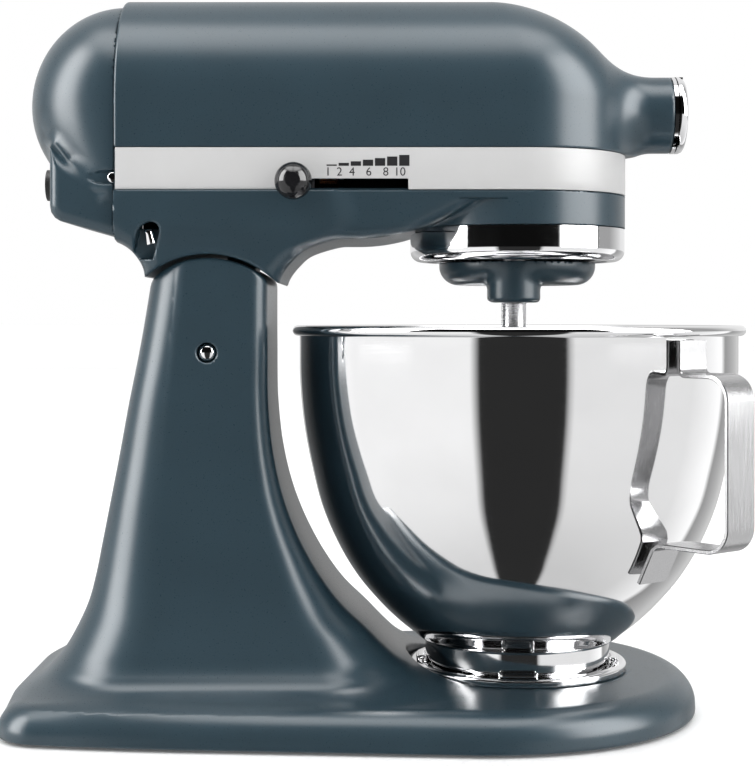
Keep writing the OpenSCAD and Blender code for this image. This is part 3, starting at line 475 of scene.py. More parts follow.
def copies_tree():
    """Puts a template on every point, turned and sized by the point's own attributes."""
    if "Placed Copies" in bpy.data.node_groups:
        return bpy.data.node_groups["Placed Copies"]
    tree = bpy.data.node_groups.new("Placed Copies", "GeometryNodeTree")
    face = tree.interface
    face.new_socket("Geometry", in_out="INPUT", socket_type="NodeSocketGeometry")
    face.new_socket("Template", in_out="INPUT", socket_type="NodeSocketObject")
    face.new_socket("Finish", in_out="INPUT", socket_type="NodeSocketMaterial")
    face.new_socket("Geometry", in_out="OUTPUT", socket_type="NodeSocketGeometry")
    new, link = tree.nodes.new, tree.links.new
    source, result = new("NodeGroupInput"), new("NodeGroupOutput")
    points, info = new("GeometryNodeMeshToPoints"), new("GeometryNodeObjectInfo")
    turn, grow = new("GeometryNodeInputNamedAttribute"), new("GeometryNodeInputNamedAttribute")
    turn.data_type = grow.data_type = "FLOAT_VECTOR"
    turn.inputs["Name"].default_value = "turn"
    grow.inputs["Name"].default_value = "grow"
    spread, real, paint = (new("GeometryNodeInstanceOnPoints"), new("GeometryNodeRealizeInstances"),
                           new("GeometryNodeSetMaterial"))
    link(source.outputs["Geometry"], points.inputs["Mesh"])
    link(source.outputs["Template"], info.inputs["Object"])
    link(points.outputs["Points"], spread.inputs["Points"])
    link(info.outputs["Geometry"], spread.inputs["Instance"])
    link(turn.outputs["Attribute"], spread.inputs["Rotation"])
    link(grow.outputs["Attribute"], spread.inputs["Scale"])
    link(spread.outputs["Instances"], real.inputs["Geometry"])
    link(real.outputs["Geometry"], paint.inputs["Geometry"])
    link(source.outputs["Finish"], paint.inputs["Material"])
    link(paint.outputs["Geometry"], result.inputs["Geometry"])
    return tree


def copies(name, template, places, slot_name):
    """Plain mesh of a template at (spot, turn in degrees, growth) places about the bowl axis."""
    mesh = bpy.data.meshes.new(name)
    spots = [(BOWL_X + p[0][0] * MM, p[0][1] * MM, p[0][2] * MM) for p in places]
    mesh.from_pydata(spots, [], [])
    turn = mesh.attributes.new("turn", "FLOAT_VECTOR", "POINT")
    grow = mesh.attributes.new("grow", "FLOAT_VECTOR", "POINT")
    for i, (_, angles, growth) in enumerate(places):
        turn.data[i].vector = [math.radians(a) for a in angles]
        grow.data[i].vector = growth
    obj = own(name, mesh)
    tree = copies_tree()
    mod = obj.modifiers.new("Placed Copies", "NODES")
    mod.node_group = tree
    keys = {s.name: s.identifier for s in tree.interface.items_tree if s.in_out == "INPUT"}
    mod[keys["Template"]] = template
    mod[keys["Finish"]] = finishes()[slot_name]
    settle(obj)
    bpy.data.objects.remove(template)
    return creases(obj, 35)


def loose(obj):
    """Moves a template's mesh from the bowl axis to the world origin, where copies are taken from."""
    obj.data.transform(Matrix.Translation((-BOWL_X, 0, 0)))
    return obj


def small_part(name, profile, radius, corner_steps, steps):
    """A small turned part with rounded corners, as a template for copies."""
    return loose(lathe(name, rounded(profile, radius, corner_steps), steps))


# ---- shapes of the castings ----

# Height, rear face, front face, half width, front corner radius, rear corner radius
COLUMN = [
    (16, -238, -14, 84, 60, 50), (19, -233.5, -30, 79, 52, 48), (22, -230, -44, 76, 46, 46),
    (28.5, -225.5, -57, 73.5, 40, 43), (36, -220, -66, 70.5, 34, 40), (45, -215, -75, 67, 29, 38),
    (56.5, -210, -87, 63, 24, 36), (70.5, -206.3, -97.5, 59.5, 19, 33), (84.5, -203.6, -105.5, 57, 15, 31),
    (105, -199.6, -114, 54, 12, 28), (126.5, -195.5, -119.3, 51.5, 10, 26), (150, -191.2, -122, 49.7, 9, 24),
    (180, -185.3, -122.5, 48.4, 8.5, 23), (224, -178, -122.5, 47, 8, 22),
]
BASE_BACK, BASE_R, BASE_REAR, BASE_DROOP = -23.0, 110.0, -245.0, 0.072


def corner_box(p, q, half_x, half_y, radius):
    """Flat field of a box with rounded corners."""
    a, b = np.abs(p) - half_x + radius, np.abs(q) - half_y + radius
    return np.minimum(np.maximum(a, b), 0) + np.hypot(np.maximum(a, 0), np.maximum(b, 0)) - radius


def column_outside(x, y, z):
    """Base and column without their hollow."""
    rear, front, half, nose, tail = (ease(z, COLUMN, k) for k in range(1, 6))
    middle, reach = (front + rear) / 2, (front - rear) / 2
    p = x - middle
    radius = nose + (tail - nose) * np.clip(0.5 - p / 30, 0, 1)
    column = np.maximum(corner_box(p, y, reach, half, radius), 14 - z)
    top = np.minimum(z - 197, rod_y(x, z, PIN_X, PIN_Z, SADDLE_R))
    column = soft_max(column, top, 2.2)
    width = BASE_R - BASE_DROOP * np.maximum(BASE_BACK - x, 0) - 0.0007 * np.maximum(-150 - x, 0) ** 2
    a, b = BASE_REAR + 19 - x, np.abs(y) - (width - 19)
    tailed = np.minimum(np.maximum(a, b), 0) + np.hypot(np.maximum(a, 0), np.maximum(b, 0)) - 19
    ahead = np.maximum(x - BASE_BACK, 0)
    nose = (ahead ** 2.14 + np.abs(y) ** 2.14) ** (1 / 2.14) - BASE_R
    plan = np.where(x > BASE_BACK, nose, tailed)
    deck = z - 19.2 + 0.00045 * np.maximum(np.hypot(x, y) - 62, 0) ** 1.6
    base = round_max(plan + 0.05 * z - 0.3, deck, 12.5)
    both = np.maximum(soft_min(base, column, 17), plan - 0.3)
    pocket = np.maximum(np.hypot(x, y) - 55.6, 19.0 - z)
    return soft_max(both, -pocket, 1.2)


def column_field(x, y, z):
    """The whole stand casting with its hollow, hinge slot and pin hole."""
    outside = column_outside(x, y, z)
    f = soft_max(outside, 1.3 - z, 2)
    f = np.maximum(f, -np.maximum(outside + 5.2, z - 152))
    post = np.full(np.broadcast(x, y, z).shape, 99.0)
    for px, py in FEET:
        post = np.minimum(post, np.hypot(x - px, y - py) - 13)
    f = np.minimum(f, np.maximum(post, np.maximum(8 - z, z - 17)))
    slot = np.maximum(np.maximum(np.abs(x - PIN_X + 2.5) - 27.5, np.abs(y) - SLOT_HALF), 160 - z)
    f = soft_max(f, -slot, 1.5)
    return soft_max(f, -(rod_y(x, z, PIN_X, PIN_Z, 4.75)), 0.8)


def nose_field(x, y, z):
    """The head above the band: a barrel with a bullet nose, straight below its axis."""
    dz = np.maximum(z - HEAD_Z, 0)
    rho = np.hypot(y, dz)
    lift = (dz / np.maximum(rho, 1e-6)) ** 2
    start = -14 * lift
    reach = HEAD_R - 0.6 - start
    power = 2 - 0.19 * lift
    along = np.maximum(x - start, 0) / reach
    size = (along ** power + (rho / (HEAD_R - 1.1 * lift)) ** power)
    return (size ** (1 / power) - 1) * HEAD_R


def head_field(x, y, z):
    """Upper head casting with the accessory hub blended into its nose."""
    nose = nose_field(x, y, z)
    hub = round_max(np.hypot(y, z - HUB_Z) - HUB_R, x - HUB_FRONT, 0.8)
    outside = soft_min(nose, np.maximum(hub, 20 - x), 15)
    shell = round_max(outside, SEAM_X - x, 1.6)
    shell = soft_max(shell, BAND_TOP + 0.1 - z, 0.8)
    hollow = np.maximum(nose + 3.4, x - 47)
    f = np.maximum(shell, -hollow)
    bore = np.maximum(np.hypot(y, z - HUB_Z) - SOCKET_R, 24 - x)
    f = soft_max(f, -bore, 0.7)
    knob = np.maximum(np.hypot(x - HUB_FRONT + 10, z - HUB_Z) - 3.3, -y)
    return np.maximum(f, -knob)


# Outline of the cover's flat side panel, as (x, z)
PANEL = [
    (-190, 253.5), (-194.5, 254.7), (-202, 257.3), (-209.4, 260.8), (-218.4, 266.8), (-226, 275.5), (-226, 247),
    (-225.4, 243.8), (-223.6, 241.2), (-221, 239.6), (-194.5, 232.1), (-190, 231),
]


def outline_field(x, z, points):
    """Flat field of a closed outline."""
    near = None
    inside = None
    for (ax, az), (bx, bz) in zip(points, points[1:] + points[:1]):
        ex, ez = bx - ax, bz - az
        wx, wz = x - ax, z - az
        t = np.clip((wx * ex + wz * ez) / (ex * ex + ez * ez), 0, 1)
        gap = np.hypot(wx - ex * t, wz - ez * t)
        near = gap if near is None else np.minimum(near, gap)
        cross = ((az <= z) & (z < bz)) | ((bz <= z) & (z < az))
        right = x < ax + (z - az) * ex / (ez if ez else 1)
        flip = cross & right
        inside = flip if inside is None else inside ^ flip
    return np.where(inside, -near, near)


def cover_outside(x, y, z):
    """Rear cover: a dome that runs down to a flat-sided box."""
    back = np.maximum(SEAM_X - x, 0)
    dz = z - 298
    up, down = np.maximum(dz, 0), np.maximum(-dz, 0)
    squeeze = np.sqrt(np.maximum(1 - (down / 47.5) ** 2, 0.08))
    dome = (np.sqrt((back / (47.8 * squeeze)) ** 2 + (y / 51.3) ** 2 + (up / 50.3) ** 2) - 1) * 48
    dome = soft_max(dome, 254 - z, 5)
    panel = outline_field(x, z, PANEL)
    box = round_max(panel, np.abs(y) - 50.2 + 0.03 * back, 5.5)
    return soft_min(dome, box, 9)


def cover_field(x, y, z):
    """Rear cover shell with the two pockets for the band screws."""
    outside = cover_outside(x, y, z)
    f = np.maximum(outside, x - SEAM_X + 0.15)
    f = np.maximum(f, -(outside + 3.4))
    f = np.maximum(f, 232.2 - z)
    pocket = np.hypot((x + 197) / 9.5, (z - 260) / 3.2) - 1
    f = soft_max(f, -np.maximum(pocket * 3, 48.8 - np.abs(y)), 1.0)
    gland = np.hypot(y - GLAND_Y, z - GLAND_Z) - 8.3
    centre = np.hypot(y, z - COVER_SCREW_Z)
    screw = np.minimum(np.maximum(centre - 2.5, x + 220), np.maximum(centre - 4.7, x - SEAM_X + REAR_REACH - 5))
    return soft_max(np.maximum(f, -np.maximum(gland, x + 214)), -screw, 0.8)


def case_field(x, y, z):
    """Lower head casting: straight sides into a round nose, necked down to the saddle."""
    plan = np.hypot(np.maximum(x, 0), y) - HEAD_R
    straight = round_max(plan, CASE_FLOOR - z, 7)
    bound = ((x + 42) * 12 - (z - 239) * 25) / 27.7
    straight = soft_max(straight, bound, 9)
    cylinder = np.maximum(np.hypot(x, y) - HEAD_R, RING_TOP + 0.1 - z)
    full = np.maximum(plan, 250 - z)
    f = np.minimum(soft_min(straight, cylinder, 2.5), full)
    half = ease(z, [(190, 47.2, 0), (206, 47.4, 0), (222, 49.6, 0), (240, 53.0, 0), (262, 53.7, 0)], 1)
    rear = ease(z, [(190, -184, 0), (206, -184, 0), (215.5, -182, 0), (223.5, -186, 0), (229, -191.5, 0),
                    (233, -197, 0), (262, -197, 0)], 1)
    front = ease(z, [(190, -118, 0), (206, -117.5, 0), (213, -116, 0), (220, -111, 0), (226, -104, 0),
                     (231, -92, 0), (262, -86, 0)], 1)
    middle, reach = (front + rear) / 2, (front - rear) / 2
    neck = np.maximum(corner_box(x - middle, y, reach, half, 11), np.maximum(206 - z, z - 262))
    f = soft_min(f, neck, 7)
    f = soft_max(f, SADDLE_R + SADDLE_GAP - np.hypot(x - PIN_X, z - PIN_Z), 1.8)
    f = np.maximum(f, z - BAND_LOW + 0.1)
    rim = np.maximum(plan + 1.5, np.maximum(250 - z, z - BAND_TOP + 0.1))
    f = np.minimum(f, rim)
    f = np.maximum(f, SEAM_X - x)
    behind = np.maximum(CASE_FLOOR + 5 - z, x + 52)
    within = np.maximum(np.hypot(x, y) - HEAD_R + 4.5, RING_TOP + 4 - z)
    hollow = np.maximum(plan + 5, np.minimum(np.minimum(behind, within), 255 - z))
    f = np.maximum(f, -hollow)
    tongue_x, tongue_z = x - PIN_X, z - PIN_Z
    a = math.radians(18)
    along = tongue_x * math.sin(a) + tongue_z * math.cos(a)
    across = tongue_x * math.cos(a) - tongue_z * math.sin(a)
    tongue = np.maximum(np.maximum(np.abs(across) - 7.5, np.abs(along - 30) - 30), np.abs(y) - SLOT_HALF + 1.6)
    boss = np.maximum(np.hypot(tongue_x, tongue_z) - 12, np.abs(y) - SLOT_HALF + 1.2)
    f = np.minimum(f, soft_min(tongue, boss, 3))
    f = np.maximum(f, -(np.hypot(tongue_x, tongue_z) - 4.4))
    slot = np.maximum(np.maximum(np.abs(x - LEVER_X - 25) - 29, np.abs(z - SLOT_Z) - 2.2), y + 30)
    pad = np.maximum(np.maximum(np.abs(x - LEVER_X - 25) - 36, np.abs(z - SLOT_Z) - 10), np.abs(y + 42) - 4.5)
    f = np.maximum(f, -np.minimum(slot, pad))
    lock = np.maximum(np.hypot(x - LOCK_X, z - LOCK_Z) - 4.3, 30 - y)
    f = np.maximum(f, -lock)
    scoop_x, scoop_z = x - SCOOP_X, z - SCOOP_Z
    scoop = np.maximum(np.hypot(scoop_x - 0.28 * scoop_z, np.maximum(scoop_z - 1, 0)) - 5.2, scoop_z - 7)
    scoop = np.maximum(scoop, -11 - scoop_z)
    f = soft_max(f, -np.maximum(scoop, np.abs(np.abs(y) - 60) - 17 - 0.35 * (-6 - scoop_z)), 1.4)
    return f


def planet_field(x, y, z):
    """Planetary head: a rounded dish with the beater boss running down from it."""
    dish = round_max(np.hypot(x, y) - 39, 210 - z, 9.5)
    boss = round_max(np.hypot(x - PLANET_X, y - PLANET_Y) - 12.9, 201 - z, 2.2)
    f = soft_min(dish, boss, 3)
    f = np.maximum(f, z - 221)
    shaft = np.hypot(x - PLANET_X, y - PLANET_Y) - 7.1
    return np.maximum(f, -shaft)


# ---- sizes and colours a user would change ----

def amount(label, about, value, low, high, **more):
    """A number a user can set."""
    return bpy.props.FloatProperty(name=label, description=about, default=value, min=low, max=high, **more)


class MixerBody(bpy.types.PropertyGroup):
    """Enamelled castings."""
    enamel: bpy.props.FloatVectorProperty(
        name="Enamel", description="Colour of the enamelled castings", subtype="COLOR", size=3,
        min=0, max=1, default=(0.0185, 0.0390, 0.0530))
    enamel_roughness: amount(
        "Enamel roughness", "Sheen of the enamel, from mirror to matt", 0.29, 0.05, 1, subtype="FACTOR")
    casting_step: amount(
        "Casting detail", "Spacing of the points on the castings", 0.0015, 0.0008, 0.006, unit="LENGTH")
    band_thickness: amount(
        "Band thickness", "Thickness of the trim band", 0.0011, 0.0006, 0.002, unit="LENGTH")


class MixerBowl(bpy.types.PropertyGroup):
    """Bowl and handle."""
    wall: amount("Bowl wall", "Sheet thickness of the bowl", 0.0012, 0.0006, 0.002, unit="LENGTH")
    handle_width: amount("Handle width", "Width of the handle strap", 0.019, 0.012, 0.026, unit="LENGTH")
    handle_thickness: amount(
        "Handle thickness", "Thickness of the handle strap", 0.002, 0.0012, 0.0022, unit="LENGTH")


class MixerControls(bpy.types.PropertyGroup):
    """Knobs and marks."""
    ball: amount("Lever ball", "Radius of the speed lever's ball", 0.00875, 0.006, 0.0088, unit="LENGTH")
    numeral: amount("Numeral height", "Height of the speed numerals", 0.0041, 0.002, 0.006, unit="LENGTH")


class MixerStage(bpy.types.PropertyGroup):
    """Camera and light."""
    camera_height: amount(
        "Camera height", "Height of the lens above the counter", 0.1935, 0.05, 1, unit="LENGTH")
    camera_distance: amount(
        "Camera distance", "Distance from the lens to the bowl axis", 0.860, 0.4, 3, unit="LENGTH")
    softbox: amount("Softbox glow", "Brightness of the softboxes seen in gloss", 12.0, 0, 30)


class MIXER_OT_column(bpy.types.Operator):
    """Builds the base and column casting"""
    bl_idname = "mixer.column"
    bl_label = "Base and column"

    def execute(self, context):
        step = context.scene.mixer_body.casting_step / MM
        obj = skin("stand_casting", column_field,
                   steps((-249, -206, step * 1.2), (-206, -100, step * 0.85), (-100, 91, step * 1.3)),
                   steps((-114, -60, step * 1.2), (-60, 60, step), (60, 114, step * 1.2)),
                   steps((-2, 30, step * 0.8), (30, 150, step * 1.5), (150, 226, step * 0.85)))
        dress(obj, "paint", "stand", "base_column")
        return {"FINISHED"}


class MIXER_OT_feet(bpy.types.Operator):
    """Builds the five rubber feet"""
    bl_idname = "mixer.feet"
    bl_label = "Feet"

    def execute(self, context):
        template = small_part("foot_shape", [(0, 0), (10.2, 0), (10.9, 3), (10.9, 7.9), (0, 7.9)], 1.2, 5, 40)
        obj = copies("counter_feet", template, [((x, y, 0), (0, 0, 0), (1, 1, 1)) for x, y in FEET], "rubber")
        dress(obj, "rubber", "stand", "base_feet")
        return {"FINISHED"}


class MIXER_OT_clamp(bpy.types.Operator):
    """Builds the bowl clamp plate, its clips and its screws"""
    bl_idname = "mixer.clamp"
    bl_label = "Bowl clamp plate"

    def execute(self, context):
        plate = lathe("clamp_disc", rounded(
            [(26, 19.1), (54.4, 19.1), (54.4, 22.2), (53.0, 23.2), (49.6, 23.2), (49.4, 20.4), (26, 20.4)],
            0.7, 4), 128)
        outline = arc_points(49.7, 0, 22, 8) + arc_points(46.7, 22, 0, 8)
        clip = loose(prism("clip_shape", outline, 23.3, 25.3, "XY", 0.5))
        clips = copies("clamp_clips", clip, QUARTERS, "chrome")
        wall = arc_points(50.6, 0.6, 21.4, 8) + arc_points(49.2, 21.4, 0.6, 8)
        riser = loose(prism("riser_shape", wall, 21, 24.9, "XY", 0.4))
        risers = copies("clip_risers", riser, QUARTERS, "chrome")
        dress(join("bowl_clamp_ring", [plate, clips, risers]), "chrome", "stand", "bowl_clamp_plate")
        head = small_part("screw_shape", [
            (0, -6.5), (2, -6.5), (2, 0), (3.8, 0), (3.6, 1.0), (2.4, 1.7), (1.6, 1.7), (1.6, 0.9), (0, 0.9)],
            0.3, 2, 24)
        spots = arc_points(CLAMP_SCREW_RING, 36, 396, 5)
        screws = copies("clamp_screw_set", head, [
            ((*spot, 20.45), (0, 0, 40), (1, 1, 1)) for spot in spots[:-1]], "steel")
        dress(screws, "steel", "stand", "clamp_plate_screws")
        return {"FINISHED"}


class MIXER_OT_hinge(bpy.types.Operator):
    """Builds the polished hinge pin"""
    bl_idname = "mixer.hinge"
    bl_label = "Hinge pin"

    def execute(self, context):
        half = [(0, -48.0), (1.2, -47.92), (2.4, -47.6), (3.4, -47.05), (4.1, -46.3), (4.3, -45.6)]
        profile = half + [(r, -h) for r, h in half[::-1]]
        obj = lathe("hinge_pin_polished", profile, 64, "Y", (PIN_X, 0, PIN_Z), angle=50)
        dress(obj, "chrome", "stand", "hinge_pin")
        return {"FINISHED"}


class MIXER_OT_head(bpy.types.Operator):
    """Builds the upper head casting with its hub"""
    bl_idname = "mixer.head"
    bl_label = "Upper head"

    def execute(self, context):
        step = context.scene.mixer_body.casting_step / MM
        obj = skin("head_casting", head_field,
                   steps((-196, -188, step * 0.5), (-188, -20, step * 1.9), (-20, 79, step * 0.85)),
                   steps((-56, 56, step * 0.95)),
                   steps((272, 278, step * 0.5), (278, 354.5, step * 0.95)))
        dress(obj, "paint", "head", "upper_housing")
        return {"FINISHED"}


class MIXER_OT_cover(bpy.types.Operator):
    """Builds the rear motor cover"""
    bl_idname = "mixer.cover"
    bl_label = "Rear cover"

    def execute(self, context):
        step = context.scene.mixer_body.casting_step / MM * 0.8
        obj = skin("rear_cover_casting", cover_field,
                   steps((-244.5, -192, step)), steps((-54, 54, step)), steps((230, 352, step)))
        dress(obj, "paint", "head", "rear_cover")
        return {"FINISHED"}


class MIXER_OT_case(bpy.types.Operator):
    """Builds the lower head casting"""
    bl_idname = "mixer.case"
    bl_label = "Lower head"

    def execute(self, context):
        step = context.scene.mixer_body.casting_step / MM
        obj = skin("lower_head_casting", case_field,
                   steps((-200, -100, step * 0.8), (-100, 56, step)),
                   steps((-56, 56, step * 0.95)),
                   steps((163, 204, step * 1.2), (204, 276, step * 0.75)))
        dress(obj, "paint", "head", "gearcase_lower")
        return {"FINISHED"}


def band_path(radius, back):
    """Plan of the head from the lever side's rear end round the nose to the far side's rear end."""
    path = [(-back, -radius)]
    path += [(x, -radius) for x in (-150, LEVER_X - 3.5, LEVER_X + 3, -80, LEVER_X + 53.5, LEVER_X + 60, -20)]
    path += arc_points(radius, -90, 90, 60)
    path += [(x, radius) for x in (-20, -60, -100, -150)] + [(-back, radius)]
    return path


class MIXER_OT_band(bpy.types.Operator):
    """Builds the trim band with its lever slot and the band screws"""
    bl_idname = "mixer.band"
    bl_label = "Trim band"

    def execute(self, context):
        path = band_path(HEAD_R + 0.15, 193.6)
        thick = context.scene.mixer_body.band_thickness / MM
        levels = [BAND_LOW + 0.1, SLOT_Z + SLOT_H / 2, BAND_TOP - 0.1]
        points, faces = [], []
        for x, y in path:
            points += [(x, y, z) for z in levels]
        for i in range(len(path) - 1):
            for k in range(2):
                middle = (path[i][0] + path[i + 1][0]) / 2
                if k == 0 and path[i][1] < -HEAD_R and LEVER_X - 3.5 < middle < LEVER_X + 53.5:
                    continue
                a = i * 3 + k
                faces.append((a, a + 3, a + 4, a + 1))
        obj = solid("trim_band_painted", points, faces)
        wall = obj.modifiers.new("Wall", "SOLIDIFY")
        wall.thickness, wall.offset = thick * MM, -1
        edge = obj.modifiers.new("Edge", "BEVEL")
        edge.width, edge.segments, edge.limit_method = 0.0003, 2, "ANGLE"
        creases(settle(obj), 40)
        dress(obj, "band", "head", "trim_band")
        head = small_part("band_screw_shape", [
            (0, -3), (1.2, -3), (1.2, 0), (2.6, 0), (2.4, 0.7), (1.2, 1.0), (0, 1.0)], 0.25, 2, 24)
        screws = copies("band_screw_pair", head, [
            ((SEAM_X - 0.5, side * 51.3, BAND_LOW + 5.8), (-90 * side, 0, 0), (1, 1, 1))
            for side in (-1, 1)], "steel")
        dress(screws, "chrome", "head", "band_screws")
        pin = small_part("scoop_pin_shape", [(0, -6), (2.4, -6), (2.4, 0), (2.0, 1.0), (0, 1.2)], 0.4, 3, 28)
        pins = copies("scoop_pins", pin, [
            ((SCOOP_X + 0.4, side * 49.6, SCOOP_Z + 1.6), (0, -14, 0), (1, 1, 1))
            for side in (-1, 1)], "chrome")
        dress(pins, "chrome", "head")
        return {"FINISHED"}


class MIXER_OT_marks(bpy.types.Operator):
    """Builds the printed speed scale: rising bars and numerals"""
    bl_idname = "mixer.marks"
    bl_label = "Speed scale"

    def execute(self, context):
        face = -HEAD_R - 0.17
        bar = loose(prism("bar_shape", [(0, 0), (1, 0), (1, 1), (0, 1)], -0.06, 0.06, "XZ"))
        places = []
        for k in range(7):
            low = 265.1
            high = 265.75 + k * 0.75
            places.append(((-94 + 5.7 * k, face, low), (0, 0, 0), (4.85, 1, high - low)))
        bars = copies("scale_bars", bar, places, "ink")
        parts = [bars]
        size = context.scene.mixer_controls.numeral
        for label, x in (("1", -93.3), ("2", -87.9), ("4", -82.0), ("6", -74.1), ("8", -66.1), ("10", -59.5)):
            curve = bpy.data.curves.new("numeral", "FONT")
            curve.body, curve.size = label, size * 1.38
            curve.align_x, curve.align_y = "CENTER", "CENTER"
            curve.extrude = 0.00005
            text = own("numeral", curve)
            context.view_layer.update()
            mesh = bpy.data.meshes.new_from_object(text.evaluated_get(context.evaluated_depsgraph_get()))
            bpy.data.objects.remove(text)
            mesh.transform(Matrix.Rotation(math.radians(90), 4, "X"))
            mesh.transform(Matrix.Translation((BOWL_X + x * MM, face * MM, 0.2622)))
            parts.append(own("numeral", mesh))
        marks = join("speed_scale_print", parts)
        marks.data.shade_flat()
        dress(marks, "ink", "head", "speed_scale")
        return {"FINISHED"}


class MIXER_OT_drive_end(bpy.types.Operator):
    """Builds the drip ring, planetary head and beater shaft"""
    bl_idname = "mixer.drive_end"
    bl_label = "Planetary head"

    def execute(self, context):
        arc = arc_points(5.3, -90, 0, 10, (48.2, 226.8))
        ring = lathe("drip_ring_polished",
                     [(45.0, 221.5)] + arc + [(53.5, 227.6), (53.5, RING_TOP - 0.2), (50.4, RING_TOP - 0.2),
                                              (50.4, 226.5), (45.0, 226.5)],
                     144, angle=40)
        dress(ring, "chrome", "head", "drip_ring")
        step = context.scene.mixer_body.casting_step / MM * 0.75
        hub = skin("planetary_casting", planet_field, steps((-41, 41, step)), steps((-42, 41, step)),
                   steps((199, 206, step * 0.7), (206, 223, step * 0.9)))
        dress(hub, "paint", "planetary", "planetary_hub")
        shaft = lathe("beater_shaft_ground", rounded(
            [(0, 156), (5.4, 156), (6.35, 157), (6.35, 184.6), (6.0, 185), (6.0, 200.7), (6.95, 200.9),
             (6.95, 230.4), (0, 230.4)], 0.35, 3), 48, at=(PLANET_X, PLANET_Y, 0), angle=40)
        dress(shaft, "steel", "beater_spindle", "beater_shaft")
        return {"FINISHED"}


class MIXER_OT_hub(bpy.types.Operator):
    """Builds the hub's hinged cap"""
    bl_idname = "mixer.hub"
    bl_label = "Accessory hub"

    def execute(self, context):
        cap = [(0, 2.0), (9, 2.05), (15, 1.9), (17.4, 1.4), (18.6, 0.5), (19.2, -1.0), (19.2, -2.6),
               (18.7, -2.8), (0, -2.8)]
        obj = lathe("hub_cap_polished", cap[::-1], 96, "X", (81.5, 0, HUB_Z), angle=60)
        dress(obj, "chrome", "hub_flap", "hub_cover")
        return {"FINISHED"}


class MIXER_OT_controls(bpy.types.Operator):
    """Builds the speed lever's ball and the lock lever's ball"""
    bl_idname = "mixer.controls"
    bl_label = "Controls"

    def execute(self, context):
        r = context.scene.mixer_controls.ball / MM
        def ball(name, radius, slot_name, body, node, spot, side):
            arc = [(radius * math.sin(math.radians(a)), -side * radius * math.cos(math.radians(a)))
                   for a in range(0, 157, 4)]
            end = arc[-1]
            profile = arc + [(r, end[1] + side * 0.5) for r in (end[0] * 0.98, 2.6, 0)]
            obj = lathe(name, profile, 64, "Y", spot, angle=40)
            dress(obj, slot_name, body, node)
        ball("speed_ball_gloss", r, "black_gloss", "speed_control", "speed_ball",
             (LEVER_X, -HEAD_R - 8.75 - 5, SLOT_Z), -1)
        ball("lock_ball_gloss", 6.5, "black_gloss", "head_lock", "lock_ball",
             (LOCK_X - 23, HEAD_R + 12, LOCK_Z), 1)
        return {"FINISHED"}


# Height, share of the bowl radius, from the floor to the rim
BOWL_WALL = [
    (33, 0.435), (38, 0.485), (42.5, 0.537), (49.5, 0.607), (56.5, 0.667), (63.5, 0.721), (70.5, 0.766),
    (84.5, 0.8375), (98.5, 0.8917), (119.5, 0.943), (140.5, 0.979), (161.5, 0.997), (184.8, 1.0),
]


def wall_radius(z):
    """Outer radius of the bowl at a height."""
    return ease(np.asarray(z, float), BOWL_WALL, 1) * RIM_R


class MIXER_OT_bowl(bpy.types.Operator):
    """Builds the bowl with its rolled rim and foot"""
    bl_idname = "mixer.bowl"
    bl_label = "Bowl"

    def execute(self, context):
        wall = context.scene.mixer_bowl.wall / MM
        heights = np.concatenate([np.linspace(34.2, 80, 26), np.linspace(83, 184.6, 34)])
        outer = [(float(wall_radius(z)), float(z)) for z in heights]
        inner = []
        for i, (r, z) in enumerate(outer):
            before, after = outer[max(i - 1, 0)], outer[min(i + 1, len(outer) - 1)]
            way = Vector((after[1] - before[1], before[0] - after[0])).normalized()
            inner.append((r - way.x * wall, z - way.y * wall))
        bead = arc_points(2.5, -115, 165, 28, (RIM_R + 1.1, RIM_TOP - 2.5))
        floor = [(0, 33.0), (20, 33.0), (40, 33.0), (45, 33.05), (47.0, 33.4)]
        well = [(0, 34.4), (20, 34.4), (40, 34.4), (44.5, 34.6)]
        profile = floor + outer[1:] + bead + inner[1:][::-1] + well[::-1]
        obj = lathe("bowl_polished", profile, 160, angle=60)
        dress(obj, "bowl_steel", "bowl", "bowl_shell")
        foot = lathe("foot_ring", [(46, 21.5), (46, 33.6), (44.5, 33.6), (44.5, 21.5), (45.2, 21.0)],
                     128, angle=50)
        outline = arc_points(47.9, 1, 21, 8) + arc_points(45, 21, 1, 8)
        lug = loose(prism("lug_shape", outline, 21.2, 22.6, "XY", 0.4))
        lugs = copies("foot_lugs", lug, QUARTERS, "bowl_steel")
        dress(join("bowl_foot_polished", [foot, lugs]), "bowl_steel", "bowl", "bowl_foot")
        return {"FINISHED"}


def strap(path, width, thick):
    """A flat strap swept along (reach, height) points: its outer face lies on the path."""
    points, faces = [], []
    count = len(path)
    for i, (r, z) in enumerate(path):
        before, after = path[max(i - 1, 0)], path[min(i + 1, count - 1)]
        way = Vector((after[0] - before[0], after[1] - before[1])).normalized()
        out = Vector((way.y, -way.x))
        ring = []
        for side, inset in ((-1, 0.35), (-0.965, 0), (0.965, 0), (1, 0.35), (1, thick - 0.35), (0.965, thick),
                            (-0.965, thick), (-1, thick - 0.35)):
            ring.append((r - out.x * inset, side * width / 2, z - out.y * inset))
        points += ring
    n = 8
    for i in range(count - 1):
        for k in range(n):
            faces.append((i * n + k, i * n + (k + 1) % n, (i + 1) * n + (k + 1) % n, (i + 1) * n + k))
    faces += [tuple(range(n)), tuple(range((count - 1) * n, count * n))]
    return points, faces


